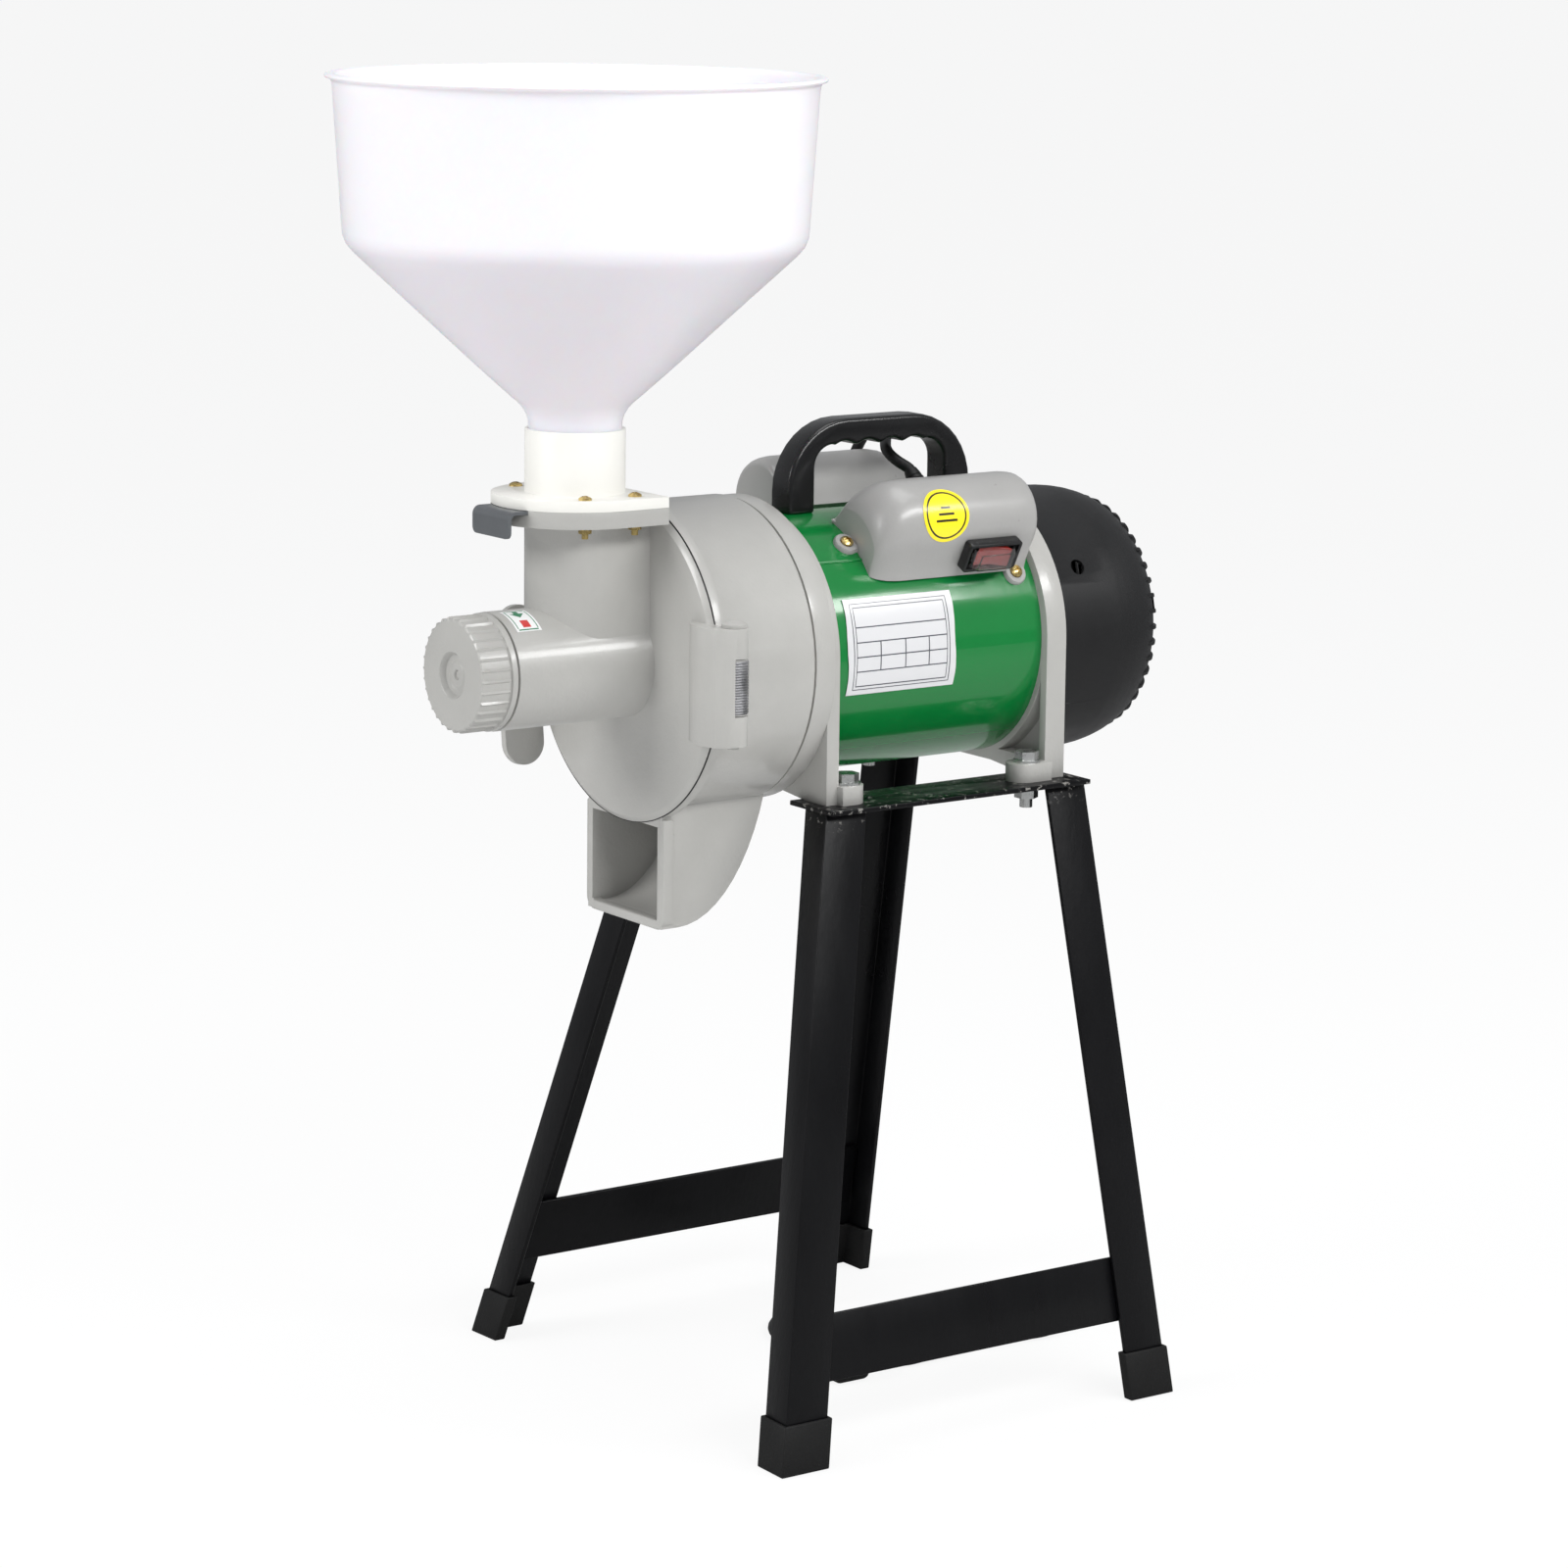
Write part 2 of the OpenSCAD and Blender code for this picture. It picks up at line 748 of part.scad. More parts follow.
module thrust_sleeve() {
    color("slategray") placed() difference() {
        union() {
            ring(sleeve_y, sleeve_y + sleeve_t, feed_bore_r - slip_gap);
            ring(sleeve_y - stem_len, sleeve_y + cut, stem_r);
        }
        ring(sleeve_y - stem_len - cut, sleeve_y - free_gap, stud_r + fit_gap);
        ring(sleeve_y + sleeve_t - bush_len, sleeve_y + sleeve_t + cut, bush_r);
        translate([0, sleeve_y + sleeve_t / 2, axis_z]) rotate([0, -guide_angle, 0])
            translate([-guide_r - gate_gap, -sleeve_t, feed_bore_r - guide_r - cut])
                cube([2 * guide_r + 2 * gate_gap, 2 * sleeve_t, 2 * guide_r]);
    }
}

module thrust_bush() {
    color("goldenrod") placed() ring(sleeve_y + sleeve_t - bush_len, sleeve_y + sleeve_t, bush_r -
        press_gap,
        journal_r + slip_gap);
}

module guide_screw() {
    color("silver") placed() translate([0, nose_y + sleeve_t, axis_z]) rotate([0, -guide_angle, 0])
        translate([0, 0, feed_r]) pan_screw(guide_r, guide_head_r, guide_head_h, feed_r - feed_bore_r +
            guide_r);
}

module hinge_pin() {
    color("silver") placed() translate([hinge_x, hinge_y, hinge_z]) {
        translate([0, 0, -hinge_half - pin_head_h / 2])
            cylinder(h = 2 * hinge_half + pin_head_h, r = pin_r);
        translate([0, 0, hinge_half + fit_gap]) intersection() {
            cylinder(h = pin_head_h, r = pin_head_r);
            translate([0, 0, pin_head_h - 2 * pin_head_r]) sphere(r = 2 * pin_head_r);
        }
    }
}

module latch_wing_bolt() {
    color("darkgray") placed() at_latch(-face_t - free_gap - wing_w) rotate(wing_turn) {
        translate([0, 0, wing_w - latch_r])
            cylinder(h = latch_r + face_t + free_gap + latch_reach, r = latch_r);
        translate([0, 0, wing_w / 2]) cylinder(h = wing_w / 2, r = wing_hub_r);
        rotate([0, 90, 0]) translate([0, 0, -wing_t / 2]) linear_extrude(wing_t)
            rounded(-wing_w + cut, -wing_half, 0, wing_half, 0.48 * wing_w);
    }
}

// Points of the chute's curved underside, in Y and in height above the shaft
module scoop(inset) {
    long = chute_back - chute_y0;
    deep = chute_drop * chute_curve_share;
    mid = -chute_drop + deep;
    polygon(concat(
        [[0, -chute_drop + inset]],
        [for (a = [0:6:72]) [chute_y0 + (long - inset) * sin(a), mid - (deep - inset) * cos(a)]],
        [[chute_y0 + (long - inset) * sin(72), -chute_top], [0, -chute_top]]
    ));
}

module mill_housing() {
    chamber_r = housing_r - housing_wall;
    back = housing_depth - housing_wall;
    in_w = chute_w - 2 * chute_wall - 2 * cut;
    color("silver") placed() difference() {
        union() {
            ring(0, lip_t, seam_r);
            ring(lip_t - cut, housing_depth - rim_chamfer, housing_r);
            along(housing_depth - rim_chamfer) cylinder(h = rim_chamfer, r1 = housing_r, r2 = ring_r);
            ring(housing_depth - cut, bracket_y, ring_r, ring_bore);
            at_flange_bolts(housing_depth - cut) cylinder(h = ring_depth + cut, r = flange_bolt_boss);
            translate([0, 0, axis_z]) across(chute_w - 2 * cut) scoop(0);
            translate([0, chute_band + cut, axis_z]) rotate([90, 0, 0]) linear_extrude(chute_band)
                difference() {
                rounded(-chute_w / 2, -chute_drop, chute_w / 2, -mouth_top, chute_wall);
                translate([-chute_w, -mouth_top - chute_wall]) square([2 * chute_w, chute_drop]);
            }
            translate([hinge_x, hinge_y, hinge_z - knuckle_half]) {
                cylinder(h = 2 * knuckle_half, r = knuckle_r - free_gap);
                translate([-2 * knuckle_r, 0, 0])
                    cube([2 * knuckle_r, knuckle_r * 0.7, 2 * knuckle_half]);
            }
            latch_lug(0, latch_reach + housing_wall);
        }
        ring(-cut, back, chamber_r);
        ring(back - cut, bracket_y, seal_r);
        translate([0, 0, axis_z]) across(in_w) difference() {
            translate([-cut, 0]) scoop(chute_wall);
            translate([-cut, -mouth_top]) square([lip_t + cut, seam_r]);
            translate([back, -chute_drop]) square([bracket_y, 2 * chute_drop - seam_r]);
        }
        translate([0, 0, axis_z]) across(in_w) translate([-cut, -chute_drop + chute_wall])
            square([chute_band, chute_drop - chute_wall - mouth_top - chute_wall]);
        translate([hinge_x, hinge_y, hinge_z - hinge_half])
            cylinder(h = 2 * hinge_half, r = pin_r + pin_gap / 2);
        at_latch(-cut) cylinder(h = latch_reach + 2 * cut, r = latch_r + latch_clear);
        at_flange_bolts(back - cut) cylinder(h = bracket_y, r = flange_bolt_r + fit_gap);
        at_flange_bolts(back - cut) cylinder(h = flange_head_h + cut, r = flange_head_r + fit_gap);
        for (s = [-1, 1]) translate([s * ring_r - ring_r / 4, housing_depth + cut, axis_z -
            window_bottom])
            cube([ring_r / 2, ring_depth - 2 * cut, window_bottom]);
    }
}

module at_flange_bolts(y) {
    for (i = [0:3]) along(y) rotate(45 + 90 * i) translate([flange_bolt_circle, 0, 0]) children();
}

module housing_bolts() {
    back = housing_depth - housing_wall;
    color("silver") placed() at_flange_bolts(back) difference() {
        union() {
            cylinder(h = flange_head_h, r = flange_head_r);
            cylinder(h = bracket_y + flange_thread - back, r = flange_bolt_r);
        }
        translate([0, 0, -cut]) cylinder(h = flange_head_h / 2 + cut, r = flange_bolt_r, $fn = 6);
    }
}

module shaft_seal() {
    back = housing_depth - housing_wall;
    color("black") placed() ring(back, back + seal_h, seal_r - press_gap, shaft_r + slip_gap);
}

module rotating_disc() {
    y0 = spigot_t + disc_t + disc_gap;
    color("dimgray") placed() along(y0 + disc_t) rotate([180, 0, 0])
        grinding_disc(shaft_r + fit_gap / 10);
}

module disc_holder() {
    y0 = spigot_t + 2 * disc_t + disc_gap;
    color("gray") placed() difference() {
        union() {
            ring(y0, y0 + holder_t, disc_r + ridge_h);
            ring(y0, y0 + holder_t + holder_hub_len, holder_hub_r);
            for (i = [0:paddles - 1]) along(y0) rotate(i * 360 / paddles)
                translate([disc_r - paddle_t, -paddle_t / 2, 0])
                    cube([paddle_reach, paddle_t, holder_t + holder_hub_len]);
        }
        ring(y0 - cut, y0 + holder_t + holder_hub_len + cut, shaft_r + fit_gap / 10);
    }
}

// Motor

module motor_shaft() {
    y_core = barrel_y + spigot_len + bearing_w;
    y_rear = rear_y - rear_bearing_w;
    color("silver") placed() {
        ring(auger_y1 + fit_gap, y_core, shaft_r);
        translate([-shaft_r * 0.86, auger_y1 - tongue_len + 2 * cut, axis_z - tongue_h / 2])
            cube([2 * shaft_r * 0.86, tongue_len, tongue_h]);
        ring(y_core - cut / 2, y_rear, rotor_shaft_r);
        ring(y_rear - cut, fan_y, rear_shaft_r);
        ring(fan_y - cut, fan_y + fan_hub_gap + fan_blade_h + 2 * fan_plate_t, fan_shaft_r);
    }
}

module bearing(y, w, r_out, r_in) {
    mid = (r_out + r_in) / 2;
    color("silver") placed() {
        ring(y, y + w, r_out, r_out - race_wall);
        ring(y, y + w, r_in + race_wall, r_in);
        ring(y + w / 4, y + w * 3 / 4, r_out - race_wall, r_in + race_wall);
    }
}

module front_bearing() bearing(front_bearing_y, bearing_w, bearing_r - press_gap, shaft_r + press_gap);

module rear_bearing() bearing(rear_bearing_y, rear_bearing_w, rear_bearing_r - press_gap,
    rear_shaft_r + press_gap);

// Outline of an end bracket with y pointing down: a round rim on two straight sides
module bracket_outline() {
    difference() {
        union() {
            circle(r = rim_r);
            translate([-rim_r, 0]) square([2 * rim_r, shaft_h]);
        }
        polygon([
            [-rim_r + 2 * side_wall, shaft_h + cut],
            [-rim_r * 0.36, shaft_h - arch_h],
            [rim_r * 0.36, shaft_h - arch_h],
            [rim_r - 2 * side_wall, shaft_h + cut]
        ]);
    }
}

// The open corners between the round barrel seat, the straight sides and the feet
module bracket_pockets() {
    difference() {
        for (s = [-1, 1]) translate([s * (rim_r - side_wall) - (s > 0 ? rim_r / 2 : 0), 0])
            square([rim_r / 2, shaft_h - foot_t]);
        circle(r = barrel_r + rim_wall);
    }
}

module front_bracket() {
    color("lightgray") placed() difference() {
        union() {
            along(bracket_y) linear_extrude(front_rim) bracket_outline();
            ring(barrel_y - cut, barrel_y + spigot_len, barrel_r - barrel_wall - fit_gap,
                barrel_r - barrel_wall - spigot_wall);
            ring(bracket_y, front_bearing_y + bearing_w, bearing_r + hub_wall);
            for (s = [-1, 1]) foot(s, barrel_y - cut, front_bolt_y);
        }
        along(bracket_y + web_t) linear_extrude(front_rim) bracket_pockets();
        ring(bracket_y + web_t, barrel_y + cut, barrel_r - barrel_wall - spigot_wall, bearing_r +
            hub_wall);
        ring(front_bearing_y, front_bearing_y + bearing_w + cut, bearing_r);
        ring(bracket_y - cut, front_bearing_y + cut, shaft_r + 2 * cut);
        foot_holes(front_bolt_y);
        at_flange_bolts(bracket_y - cut) cylinder(h = web_t + 2 * cut, r = flange_bolt_r);
        at_tie_rods(bracket_y - cut) cylinder(h = front_rim + spigot_len + 2 * cut, r = tie_r + fit_gap);
    }
}

module foot(s, y0, y1) {
    x = s * bolt_x;
    translate([x, y1, rail_top]) cylinder(h = foot_t, r = foot_r);
    translate([x - foot_r, min(y0, y1), rail_top]) cube([2 * foot_r, abs(y1 - y0), foot_t]);
}

module foot_holes(y) {
    for (s = [-1, 1]) translate([s * bolt_x, y, rail_top - cut])
        cylinder(h = foot_t + 2 * cut, r = bolt_hole_r);
}

module at_tie_rods(y) {
    for (i = [0:3]) along(y) rotate(20 + 90 * i) translate([tie_circle, 0, 0]) children();
}

module rear_bracket() {
    back = fan_y;
    color("lightgray") placed() difference() {
        union() {
            along(rear_y) linear_extrude(rear_rim) bracket_outline();
            ring(rear_y - spigot_len, rear_y + cut, barrel_r - barrel_wall - fit_gap,
                barrel_r - barrel_wall - spigot_wall);
            for (s = [-1, 1]) {
                foot(s, rear_y + cut, rear_bolt_y);
                foot(s, rear_bolt_y, rear_bolt_y - foot_reach);
            }
        }
        along(rear_y - cut) linear_extrude(rear_rim - web_t + cut) bracket_pockets();
        ring(rear_y - cut, back - web_t, barrel_r - barrel_wall - spigot_wall, rear_bearing_r + hub_wall);
        ring(rear_y - cut, back - web_t, rear_bearing_r);
        ring(back - web_t - cut, back + cut, rear_shaft_r + 2 * cut);
        foot_holes(rear_bolt_y);
        at_tie_rods(rear_y - spigot_len - cut)
            cylinder(h = rear_rim + spigot_len + 2 * cut, r = tie_r + fit_gap);
    }
}

module motor_barrel() {
    color("forestgreen") placed() difference() {
        ring(barrel_y + slip_gap, rear_y - slip_gap, barrel_r, barrel_r - barrel_wall);
        at_box_screws() translate([0, 0, -2 * barrel_wall])
            cylinder(h = 4 * barrel_wall, r = box_screw_r + slip_gap);
    }
}

module stator_core() {
    color("dimgray") placed() difference() {
        ring(core_y0, core_y1, core_r, bore_r);
        at_tie_rods(core_y0 - cut) cylinder(h = core_y1 - core_y0 + 2 * cut, r = tie_r + loose_gap);
    }
}

module stator_windings() {
    color("chocolate") placed() {
        ring(core_y0 - winding_len, core_y0, tie_circle - tie_r - 2 * cut, bore_r + 2 * cut);
        ring(core_y1, core_y1 + winding_len, tie_circle - tie_r - 2 * cut, bore_r + 2 * cut);
    }
}

module rotor_core() {
    color("gray") placed() {
        ring(core_y0 - cut, core_y1 + cut, bore_r - air_gap, rotor_shaft_r + press_gap);
        for (y = [core_y0 - cut - 3 * fan_plate_t, core_y1 + cut])
            ring(y, y + 3 * fan_plate_t, bore_r - hub_wall, bore_r - 2.5 * hub_wall);
    }
}

module tie_rods() {
    color("silver") placed() {
        at_tie_rods(bracket_y - tie_head_h) cylinder(h = fan_y - bracket_y + 2 * tie_head_h, r = tie_r);
        at_tie_rods(bracket_y - tie_head_h) cylinder(h = tie_head_h, r = tie_head_r, $fn = 6);
        at_tie_rods(fan_y) cylinder(h = tie_head_h, r = tie_head_r, $fn = 6);
    }
}

module cooling_fan() {
    color("dimgray") placed() difference() {
        union() {
            ring(fan_front, fan_front + fan_plate_t, fan_r);
            ring(fan_front, fan_front + fan_blade_h + fan_plate_t, fan_hub_r);
            for (i = [0:fan_blades - 1]) along(fan_front) rotate(i * 360 / fan_blades)
                translate([fan_shaft_r + 2 * cut, -fan_blade_t / 2, 0])
                    cube([fan_r - fan_shaft_r - 3 * cut, fan_blade_t, fan_blade_h + fan_plate_t]);
        }
        ring(fan_front - cut, fan_front + fan_blade_h + 2 * fan_plate_t, fan_shaft_r + press_gap);
    }
}

// Half section of the fan cover: a straight skirt, then a rounded dome to a flat face
function dome(r, len, skirt, face) = concat(
    [[r, 0]],
    [for (a = [0:10:90]) [face + (r - face) * cos(a), skirt + (len - skirt) * sin(a)]]
);

module fan_cover() {
    color([0.1, 0.1, 0.1]) placed() difference() {
        union() {
            along(fan_y + free_gap) rotate_extrude() polygon(concat(
                dome(fan_cover_r, fan_cover_len - free_gap, fan_skirt, fan_face_r),
                [[0, fan_cover_len - free_gap], [0, 0]]
            ));
            for (i = [0:fan_ribs - 1]) along(fan_y) rotate(i * 360 / fan_ribs)
                translate([fan_slot_in, -fan_rib_w / 2, fan_cover_len * 0.62])
                    cube([fan_cover_r * 0.845 - fan_slot_in, fan_rib_w, fan_cover_len * 0.38 + rib_h]);
        }
        along(fan_y - cut) rotate_extrude() polygon(concat(
            dome(fan_cover_r - fan_wall, fan_cover_len - fan_wall + cut, fan_skirt, fan_face_r -
                fan_wall),
            [[0, fan_cover_len - fan_wall + cut], [0, 0]]
        ));
        for (i = [0:fan_slots - 1]) along(fan_y + fan_cover_len / 2) rotate((i + 0.5) * 360 / fan_slots)
            translate([fan_slot_in, -fan_slot_w / 2, 0])
                cube([fan_face_r * 0.8 - fan_slot_in, fan_slot_w, fan_cover_len]);
        translate([0, fan_hole_y, axis_z]) rotate([0, fan_hole_tilt, 0])
            translate([0, 0, fan_cover_r - 2 * fan_wall])
            cylinder(h = 4 * fan_wall, r = fan_hole_r);
        at_fan_screws() translate([0, 0, -2 * fan_wall])
            cylinder(h = 4 * fan_wall, r = box_screw_r + slip_gap);
    }
}

// Boxes, switch and handle

// Carries a piece that is built above the shaft round to its place on the barrel
module on_barrel(tilt) translate([0, 0, axis_z]) rotate([0, tilt, 0]) children();

module lying(x, y0, y1, z, r) translate([x, y1, z]) rotate([90, 0, 0])
    cylinder(h = y1 - y0, r = r, $fn = hull_fn);

// The closed form of a box over a lying capacitor, drawn in by inset on every side
module box_form(dist, y0, len, inset) {
    foot_dist = barrel_r + box_foot_r;
    y1 = y0 + len;
    hull() {
        for (s = [-1, 1]) lying(s * foot_dist * sin(box_spread), y0 + rear_round + inset, y1 - inset,
            foot_dist * cos(box_spread) - inset * box_foot_r, box_foot_r - inset / box_foot_r);
        for (s = [-1, 1]) lying(s * (foot_dist * sin(box_spread) - inset), y0 + rear_round + inset,
            y1 - inset,
            foot_dist * cos(box_spread) - 2 * box_foot_r, box_foot_r - inset / box_foot_r);
        lying(0, y0 + front_slope, y1 - rear_round - inset, dist, box_r - inset);
        lying(0, y0 + inset, y0 + rear_round + inset, dist - front_drop, box_r - front_drop - inset);
        lying(0, y1 - rear_round, y1 - inset, dist, box_r - rear_round - inset);
    }
}

module lug(tilt, y) rotate([0, tilt, 0]) translate([0, y, barrel_r - barrel_wall])
    cylinder(h = barrel_wall + lug_t, r = lug_r);

module box_shell(dist, y0, len) {
    difference() {
        union() {
            difference() {
                box_form(dist, y0, len, 0);
                box_form(dist, y0, len, box_wall);
            }
            difference() {
                union() {
                    lug(0, y0 - lug_lead);
                    lug(lug_swing, y0 + lug_back);
                }
                box_form(dist, y0, len, box_wall);
            }
        }
        rotate([-90, 0, 0]) cylinder(h = rear_y + fan_y, r = barrel_r + slip_gap);
        at_lugs(y0) {
            cylinder(h = 2 * lug_t, r = box_screw_r + fit_gap);
            translate([0, 0, lug_t]) cylinder(h = 2 * screw_head_h, r = screw_head_r + fit_gap);
        }
    }
}

// Middle and slope of the flat side between a box's foot and its crown
function side_foot() = [(barrel_r + box_foot_r) * sin(box_spread), (barrel_r + box_foot_r) *
    cos(box_spread)];
function side_slope(dist) = let (f = side_foot(), d = [-f[0], dist - f[1]])
    atan2(d[1], d[0]) - asin((box_r - box_foot_r) / norm(d)) - 90;
function side_mid(dist) = let (n = side_slope(dist), u = [cos(n), sin(n)])
    (side_foot() + box_foot_r * u + [0, dist] + box_r * u) / 2;

// A point h outside the near box's flat side, in the working frame
function side_point(s, y, h) = let (n = side_slope(near_dist), m = side_mid(near_dist), x = s *
    (m[0] + h * cos(n)),
    z = m[1] + h * sin(n)) [x * cos(near_tilt) + z * sin(near_tilt), y, axis_z + z * cos(near_tilt) -
        x * sin(near_tilt)];

// Places a piece on the near box with z pointing out of its flat side: s = 1 is the lower side
module on_side(s, y) {
    n = side_slope(near_dist);
    m = side_mid(near_dist);
    on_barrel(near_tilt) translate([s * m[0], y, m[1]]) rotate([0, s * (90 - n), 0]) children();
}

module switch_box() {
    color("darkgray") placed() difference() {
        on_barrel(near_tilt) box_shell(near_dist, near_box_y, box_len);
        on_side(1, switch_y) translate([-switch_rise, 0, 0])
            translate([-rocker_w / 2 - bezel_wall, -rocker_len / 2 - bezel_wall, -2 * box_wall])
            cube([rocker_w + 2 * bezel_wall, rocker_len + 2 * bezel_wall, 4 * box_wall]);
        on_side(-1, gland_y) translate([0, 0, -3 * box_wall])
            cylinder(h = 6 * box_wall, r = cord_d / 2 + fit_gap);
    }
}

// The far box is the same moulding turned round, with its sloping end towards the fan
module turned_round() translate([0, 2 * far_box_y + far_box_len, 0]) rotate([0, 0, 180]) children();

module capacitor_box() {
    color("darkgray") placed() on_barrel(far_tilt) turned_round()
        box_shell(far_dist, far_box_y, far_box_len);
}

module run_capacitor() {
    color("lightsteelblue") placed() on_barrel(near_tilt)
        lying(0, near_box_y + front_slope + box_wall, near_box_y + front_slope + box_wall + cap_len,
            barrel_r + near_cap_r + free_gap, near_cap_r);
}

module start_capacitor() {
    color("black") placed() on_barrel(far_tilt) turned_round()
        lying(0, far_box_y + front_slope + box_wall, far_box_y + front_slope + box_wall + cap_len,
            barrel_r + far_cap_r + free_gap, far_cap_r);
}

// Places a piece at both screws of a box that starts at y0
module at_lugs(y0) {
    translate([0, y0 - lug_lead, barrel_r]) children();
    rotate([0, lug_swing, 0]) translate([0, y0 + lug_back, barrel_r]) children();
}

module at_box_screws() {
    on_barrel(near_tilt) at_lugs(near_box_y) children();
    on_barrel(far_tilt) turned_round() at_lugs(far_box_y) children();
}

module at_fan_screws() {
    for (a = [30, 150, 270]) translate([0, fan_y + fan_screw_y, axis_z]) rotate([0, a + 90, 0])
        translate([0, 0, fan_cover_r]) children();
}

module case_screws() {
    color("goldenrod") placed() {
        at_box_screws() translate([0, 0, lug_t])
            pan_screw(box_screw_r, screw_head_r, screw_head_h, lug_t + barrel_wall - slip_gap);
        at_fan_screws() pan_screw(box_screw_r, screw_head_r, screw_head_h, 2 * fan_wall);
    }
}

// A box round the rocker's middle: sizes grow outwards by more on every side
module rocker_block(more, z0, z1) {
    translate([-rocker_w / 2 - more, -rocker_len / 2 - more, z0])
        cube([rocker_w + 2 * more, rocker_len + 2 * more, z1 - z0]);
}

module switch_bezel() {
    boot_x = bezel_w / 2 - bezel_wall;
    boot_y = bezel_len / 2 - bezel_wall;
    color([0.1, 0.1, 0.1]) placed() on_side(1, switch_y) translate([-switch_rise, 0, 0]) difference() {
        union() {
            translate([0, 0, fit_gap]) linear_extrude(bezel_h)
                rounded(-bezel_w / 2, -bezel_len / 2, bezel_w / 2, bezel_len / 2, bezel_wall);
            rocker_block(bezel_wall - fit_gap, -4 * box_wall, cut);
        }
        rocker_block(free_gap, -3 * box_wall, 2 * bezel_h);
        translate([-boot_x, -boot_y, boot_wall + fit_gap]) cube([2 * boot_x, 2 * boot_y, 2 * bezel_h]);
    }
}

module switch_boot() {
    boot_x = bezel_w / 2 - bezel_wall - slip_gap;
    boot_y = bezel_len / 2 - bezel_wall - slip_gap;
    color([0.9, 0.9, 0.92, 0.4]) placed() on_side(1, switch_y) translate([-switch_rise, 0, 0])
        translate([0, 0, boot_wall + fit_gap]) difference() {
        translate([-boot_x, -boot_y, 0]) cube([2 * boot_x, 2 * boot_y, boot_h]);
        translate([boot_wall - boot_x, boot_wall - boot_y, -cut])
            cube([2 * (boot_x - boot_wall), 2 * (boot_y - boot_wall), boot_h + cut - boot_wall]);
    }
}

module rocker_switch() {
    half = rocker_len / 2 - free_gap * 3;
    color("firebrick") placed() on_side(1, switch_y) translate([-switch_rise, 0, 0])
        translate([0, 0, rocker_h - bezel_wall]) rotate([rocker_swing, 0, 0])
        translate([-rocker_w / 2, 0, 0]) rotate([90, 0, 90]) linear_extrude(rocker_w) polygon([
            [-half, bezel_wall + cut],
            [-half * 0.55, -bezel_wall * 2],
            [half * 0.55, -bezel_wall * 2],
            [half, bezel_wall + cut],
            [0, bezel_wall / 2]
        ]);
}

// Side view of the handle, with z measured from the shaft
module handle_profile() {
    top = barrel_r + handle_h;
    under = top - grip_t;
    start = (handle_len - scallops * scallop_w) / 2;
    difference() {
        union() {
            translate([0, 0]) square([handle_len, top - handle_corner]);
            translate([handle_corner, 0]) square([handle_len - 2 * handle_corner, top]);
            for (y = [handle_corner, handle_len - handle_corner]) translate([y, top - handle_corner])
                circle(r = handle_corner);
        }
        rounded(handle_leg, -handle_corner, handle_len - handle_leg, under, grip_corner);
        intersection() {
            for (i = [0:scallops - 1]) translate([start + (i + 0.5) * scallop_w, under + scallop_h -
                scallop_r])
                circle(r = scallop_r);
            translate([start, under - scallop_h]) square([scallops * scallop_w, 3 * scallop_h]);
        }
    }
}

module carry_handle() {
    color([0.1, 0.1, 0.1]) placed() difference() {
        translate([0, handle_y0, axis_z]) across(handle_w) handle_profile();
        ring(handle_y0 - cut, handle_y0 + handle_len + cut, barrel_r + slip_gap);
        at_handle_screws() cylinder(h = 2 * handle_leg, r = screw_r + fit_gap);
    }
}

module at_handle_screws() {
    for (y = [handle_y0 + handle_leg / 2, handle_y0 + handle_len - handle_leg / 2])
        translate([0, y, axis_z + barrel_r - barrel_wall]) children();
}

module nameplate() {
    plate_y0 = barrel_y + front_rim;
    color("whitesmoke") placed() along(plate_y0) rotate(-28) rotate_extrude(angle = 42)
        translate([barrel_r + slip_gap, 0]) square([gate_gap * 2, plate_len]);
}

// Stand

module motor_bolts() {
    color("silver") placed() for (s = [-1, 1], y = [front_bolt_y, rear_bolt_y])
        translate([s * bolt_x, y, 0]) {
        translate([0, 0, rail_top + foot_t]) cylinder(h = washer_t, r = washer_r);
        translate([0, 0, rail_top + foot_t + washer_t]) cylinder(h = bolt_head_h, r = bolt_af_r, $fn = 6);
        translate([0, 0, rail_top - bolt_tail]) cylinder(h = bolt_tail + foot_t + washer_t, r = bolt_r);
        translate([0, 0, rail_top - rail_t - washer_t]) difference() {
            cylinder(h = washer_t, r = washer_r);
            translate([0, 0, -cut]) cylinder(h = washer_t + 2 * cut, r = bolt_r + pin_gap);
        }
        translate([0, 0, rail_top - rail_t - washer_t - nut_h]) difference() {
            cylinder(h = nut_h, r = bolt_af_r, $fn = 6);
            translate([0, 0, -cut]) cylinder(h = nut_h + 2 * cut, r = bolt_r + pin_gap);
        }
    }
}

module rail(s) {
    color([0.12, 0.12, 0.12]) placed() difference() {
        translate([s * rail_mid_x - rail_w / 2, rail_y0, rail_top - rail_t])
            cube([rail_w, rail_len, rail_t]);
        for (y = [front_bolt_y, rear_bolt_y]) translate([s * bolt_x, y, rail_top - rail_t - cut])
            cylinder(h = rail_t + 2 * cut, r = bolt_hole_r);
    }
}

module left_rail() rail(-1);
module right_rail() rail(1);

// Section of an angle iron with its corner at the origin, grown outwards by wall
module angle_section(wall) {
    polygon([
        [wall, -wall],
        [wall, angle_w + wall],
        [-angle_t - wall, angle_w + wall],
        [-angle_t - wall, angle_t + wall],
        [-angle_end_w - wall, angle_t + wall],
        [-angle_end_w - wall, -wall]
    ]);
}

